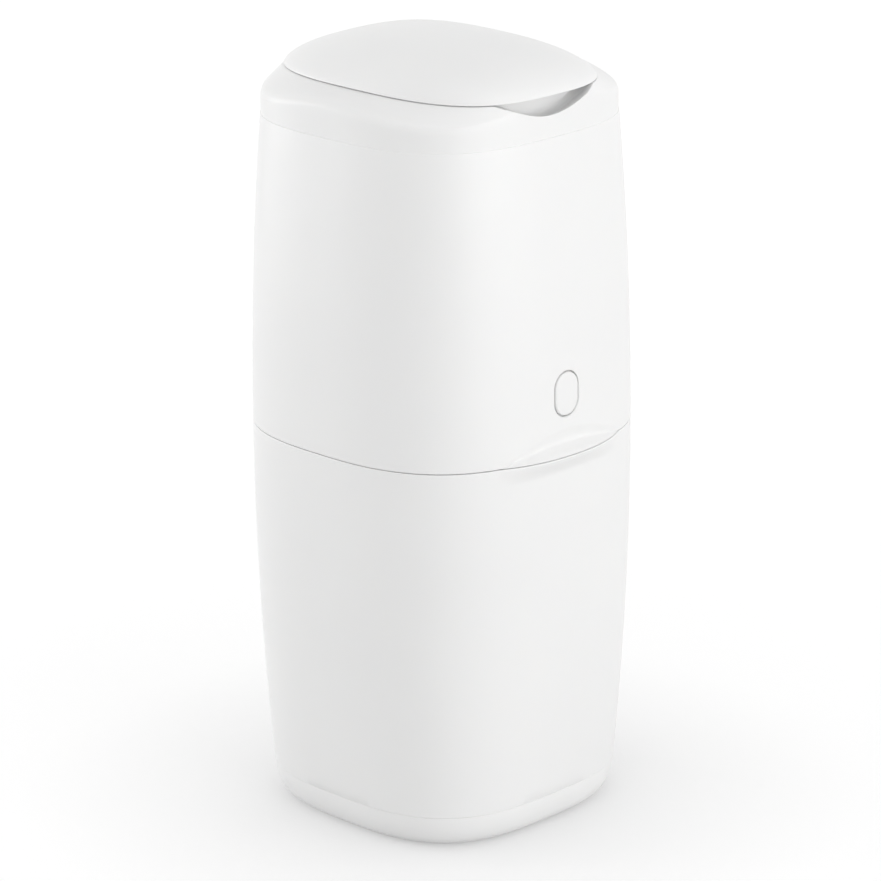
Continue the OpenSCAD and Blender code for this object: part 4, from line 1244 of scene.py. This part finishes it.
button_coil = spring("button_coil", "upper", "button_spring", Turns=3.0,
                     Mean_Radius=0.007, Wire_Radius=0.0005, Length=coil_length,
                     Place=(0, -wall_in + coil_low, button_z), Turn=(-math.pi / 2, 0, 0))
-wall_in + coil_low + coil_length
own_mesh(button_coil)
spring("hook_coil", "upper", "latch_spring", Turns=4.0, Mean_Radius=0.0032,
       Wire_Radius=0.0005, Length=0.0056, Place=(-0.0028, latch_y, latch_z),
       Turn=(0, math.pi / 2, 0))
for name, x in (("left", -jaw_axle_x), ("right", jaw_axle_x)):
    spring("jaw_coil_" + name, "upper", "jaw_spring_" + name, Turns=14.0,
           Mean_Radius=0.003, Wire_Radius=0.0005, Length=0.024,
           Place=(x, 0.012, axle_z), Turn=(math.pi / 2, 0, 0))


# ---- floor, light and camera ----
floor_bounce = 0.66
floor_shade = 0.50
# Glow of the floor as the camera sees it, with a painted shadow round the bin: it is dimmed
# by ambient occlusion near the bin and grows brighter with the distance from it.
painted_shadow_glow = 0.40
glow_open = 0.56
painted_falloff_glow = 0.12
painted_shadow_reach = 0.2
sky_horizon = 1.08
sky_zenith = 0.50
lamp_aim_z = 0.30


def seen_ray(tree):
    """1 for rays from the camera, off gloss and through clear things."""
    path = add_node(tree, "ShaderNodeLightPath").outputs
    seen = Link(tree, path["Is Camera Ray"])
    for key in ("Is Glossy Ray", "Is Transmission Ray"):
        seen = seen.math("MAXIMUM", Link(tree, path[key]))
    return seen


def make_floor():
    """Pale floor: seen from the camera it is near white, with the bin's soft shadow, partly
    real and partly a painted shadow: the floor's glow is dimmed near the bin by ambient
    occlusion and rises with the distance from the bin.
    """
    floor = from_points("floor", [(-8, -8, 0), (8, -8, 0), (8, 8, 0), (-8, 8, 0)],
                        [(0, 1, 2, 3)])
    paint = bpy.data.materials.new("Pale floor")
    paint.use_nodes = True
    tree = paint.node_tree
    shader = tree.nodes["Principled BSDF"]
    feed(shader, Base_Color=(floor_bounce, floor_bounce, floor_bounce, 1), Roughness=0.9,
         Specular_IOR_Level=0.2)
    pale = add_node(tree, "ShaderNodeBsdfDiffuse",
                    Color=(floor_shade, floor_shade, floor_shade, 1))
    near = add_node(tree, "ShaderNodeAmbientOcclusion", Distance=painted_shadow_reach)
    spot = add_node(tree, "ShaderNodeTexCoord").outputs["Object"]
    far = add_node(tree, "ShaderNodeVectorMath", {"operation": "LENGTH"}, Vector=spot)
    # Painted shadow: the glow is dimmed where ambient occlusion finds the bin close, and a
    # painted falloff raises it with the distance from the bin.
    painted_shadow_part = spread(Link(tree, near.outputs["AO"]), painted_shadow_glow, glow_open, 0.5, 1)
    away = spread(Link(tree, far.outputs["Value"]), 0, painted_falloff_glow, 0.25, 1.8)
    glow = add_node(tree, "ShaderNodeEmission", Strength=painted_shadow_part + away)
    both = add_node(tree, "ShaderNodeAddShader")
    choose = add_node(tree, "ShaderNodeMixShader", Fac=seen_ray(tree))
    for source, slot in ((pale, both.inputs[0]), (glow, both.inputs[1]),
                         (shader, choose.inputs[1]), (both, choose.inputs[2]),
                         (choose, tree.nodes["Material Output"].inputs["Surface"])):
        tree.links.new(source.outputs[0], slot)
    floor.data.materials.append(paint)


def make_world():
    """Light that is strongest along the horizon; the camera sees plain white."""
    world = bpy.data.worlds.new("Studio")
    bpy.context.scene.world = world
    world.use_nodes = True
    tree = world.node_tree
    way = add_node(tree, "ShaderNodeTexCoord").outputs["Generated"]
    rise = add_node(tree, "ShaderNodeSeparateXYZ", Vector=way).outputs["Z"]
    sky = spread(Link(tree, rise), sky_horizon, sky_zenith, 0, 1)
    feed(tree.nodes["Background"], Color=(1, 1, 1, 1),
         Strength=seen_ray(tree) * (1 - sky) + sky)


def lamp(name, power, size, azimuth, elevation, distance):
    """Soft square lamp that looks at the bin; azimuth 0 is in front, 90 at the right."""
    light = bpy.data.lights.new(name, "AREA")
    light.energy = power
    light.shape = "RECTANGLE"
    light.size, light.size_y = size
    holder = bpy.data.objects.new(name, light)
    bpy.context.scene.collection.objects.link(holder)
    a, e = math.radians(azimuth), math.radians(elevation)
    away = Vector((math.sin(a) * math.cos(e), -math.cos(a) * math.cos(e), math.sin(e)))
    holder.location = Vector((0, 0, lamp_aim_z)) + away * distance
    holder.rotation_euler = away.to_track_quat("Z", "Y").to_euler()
    holder.visible_camera = False


def aim_camera():
    """Looks across the corner between the front and the left, from a little above."""
    azimuth, pitch, roll, aside = map(math.radians, (-45.279, 18.222, -0.428, 0.02))
    turn = azimuth + aside
    distance, height = 3.201, 1.325216
    focal_px, frame_px = 4621.54, 881
    place = Vector((math.sin(azimuth) * distance, -math.cos(azimuth) * distance, height))
    ahead = Vector((-math.sin(turn) * math.cos(pitch), math.cos(turn) * math.cos(pitch),
                    -math.sin(pitch)))
    right = Vector((math.cos(turn), math.sin(turn), 0))
    up = right.cross(ahead)
    right_r = right * math.cos(roll) + up * math.sin(roll)
    up_r = up * math.cos(roll) - right * math.sin(roll)
    lens = bpy.data.cameras.new("Camera")
    lens.sensor_fit = "HORIZONTAL"
    lens.sensor_width = 36
    lens.lens = focal_px / frame_px * lens.sensor_width
    lens.clip_end = 50
    camera = bpy.data.objects.new("Camera", lens)
    bpy.context.scene.collection.objects.link(camera)
    camera.matrix_world = Matrix.Translation(place) @ Matrix(
        (right_r, up_r, -ahead)).transposed().to_4x4()
    bpy.context.scene.camera = camera


make_floor()
make_world()
lamp("front", power=22.4, size=(2.4, 1.6), azimuth=5, elevation=2, distance=2.4)
lamp("left_back", power=19.5, size=(1.6, 1.6), azimuth=-150, elevation=0, distance=2.4)
lamp("top", power=6.2, size=(1.8, 1.8), azimuth=20, elevation=86, distance=2.2)
aim_camera()
bpy.context.scene.view_settings.view_transform = "Standard"
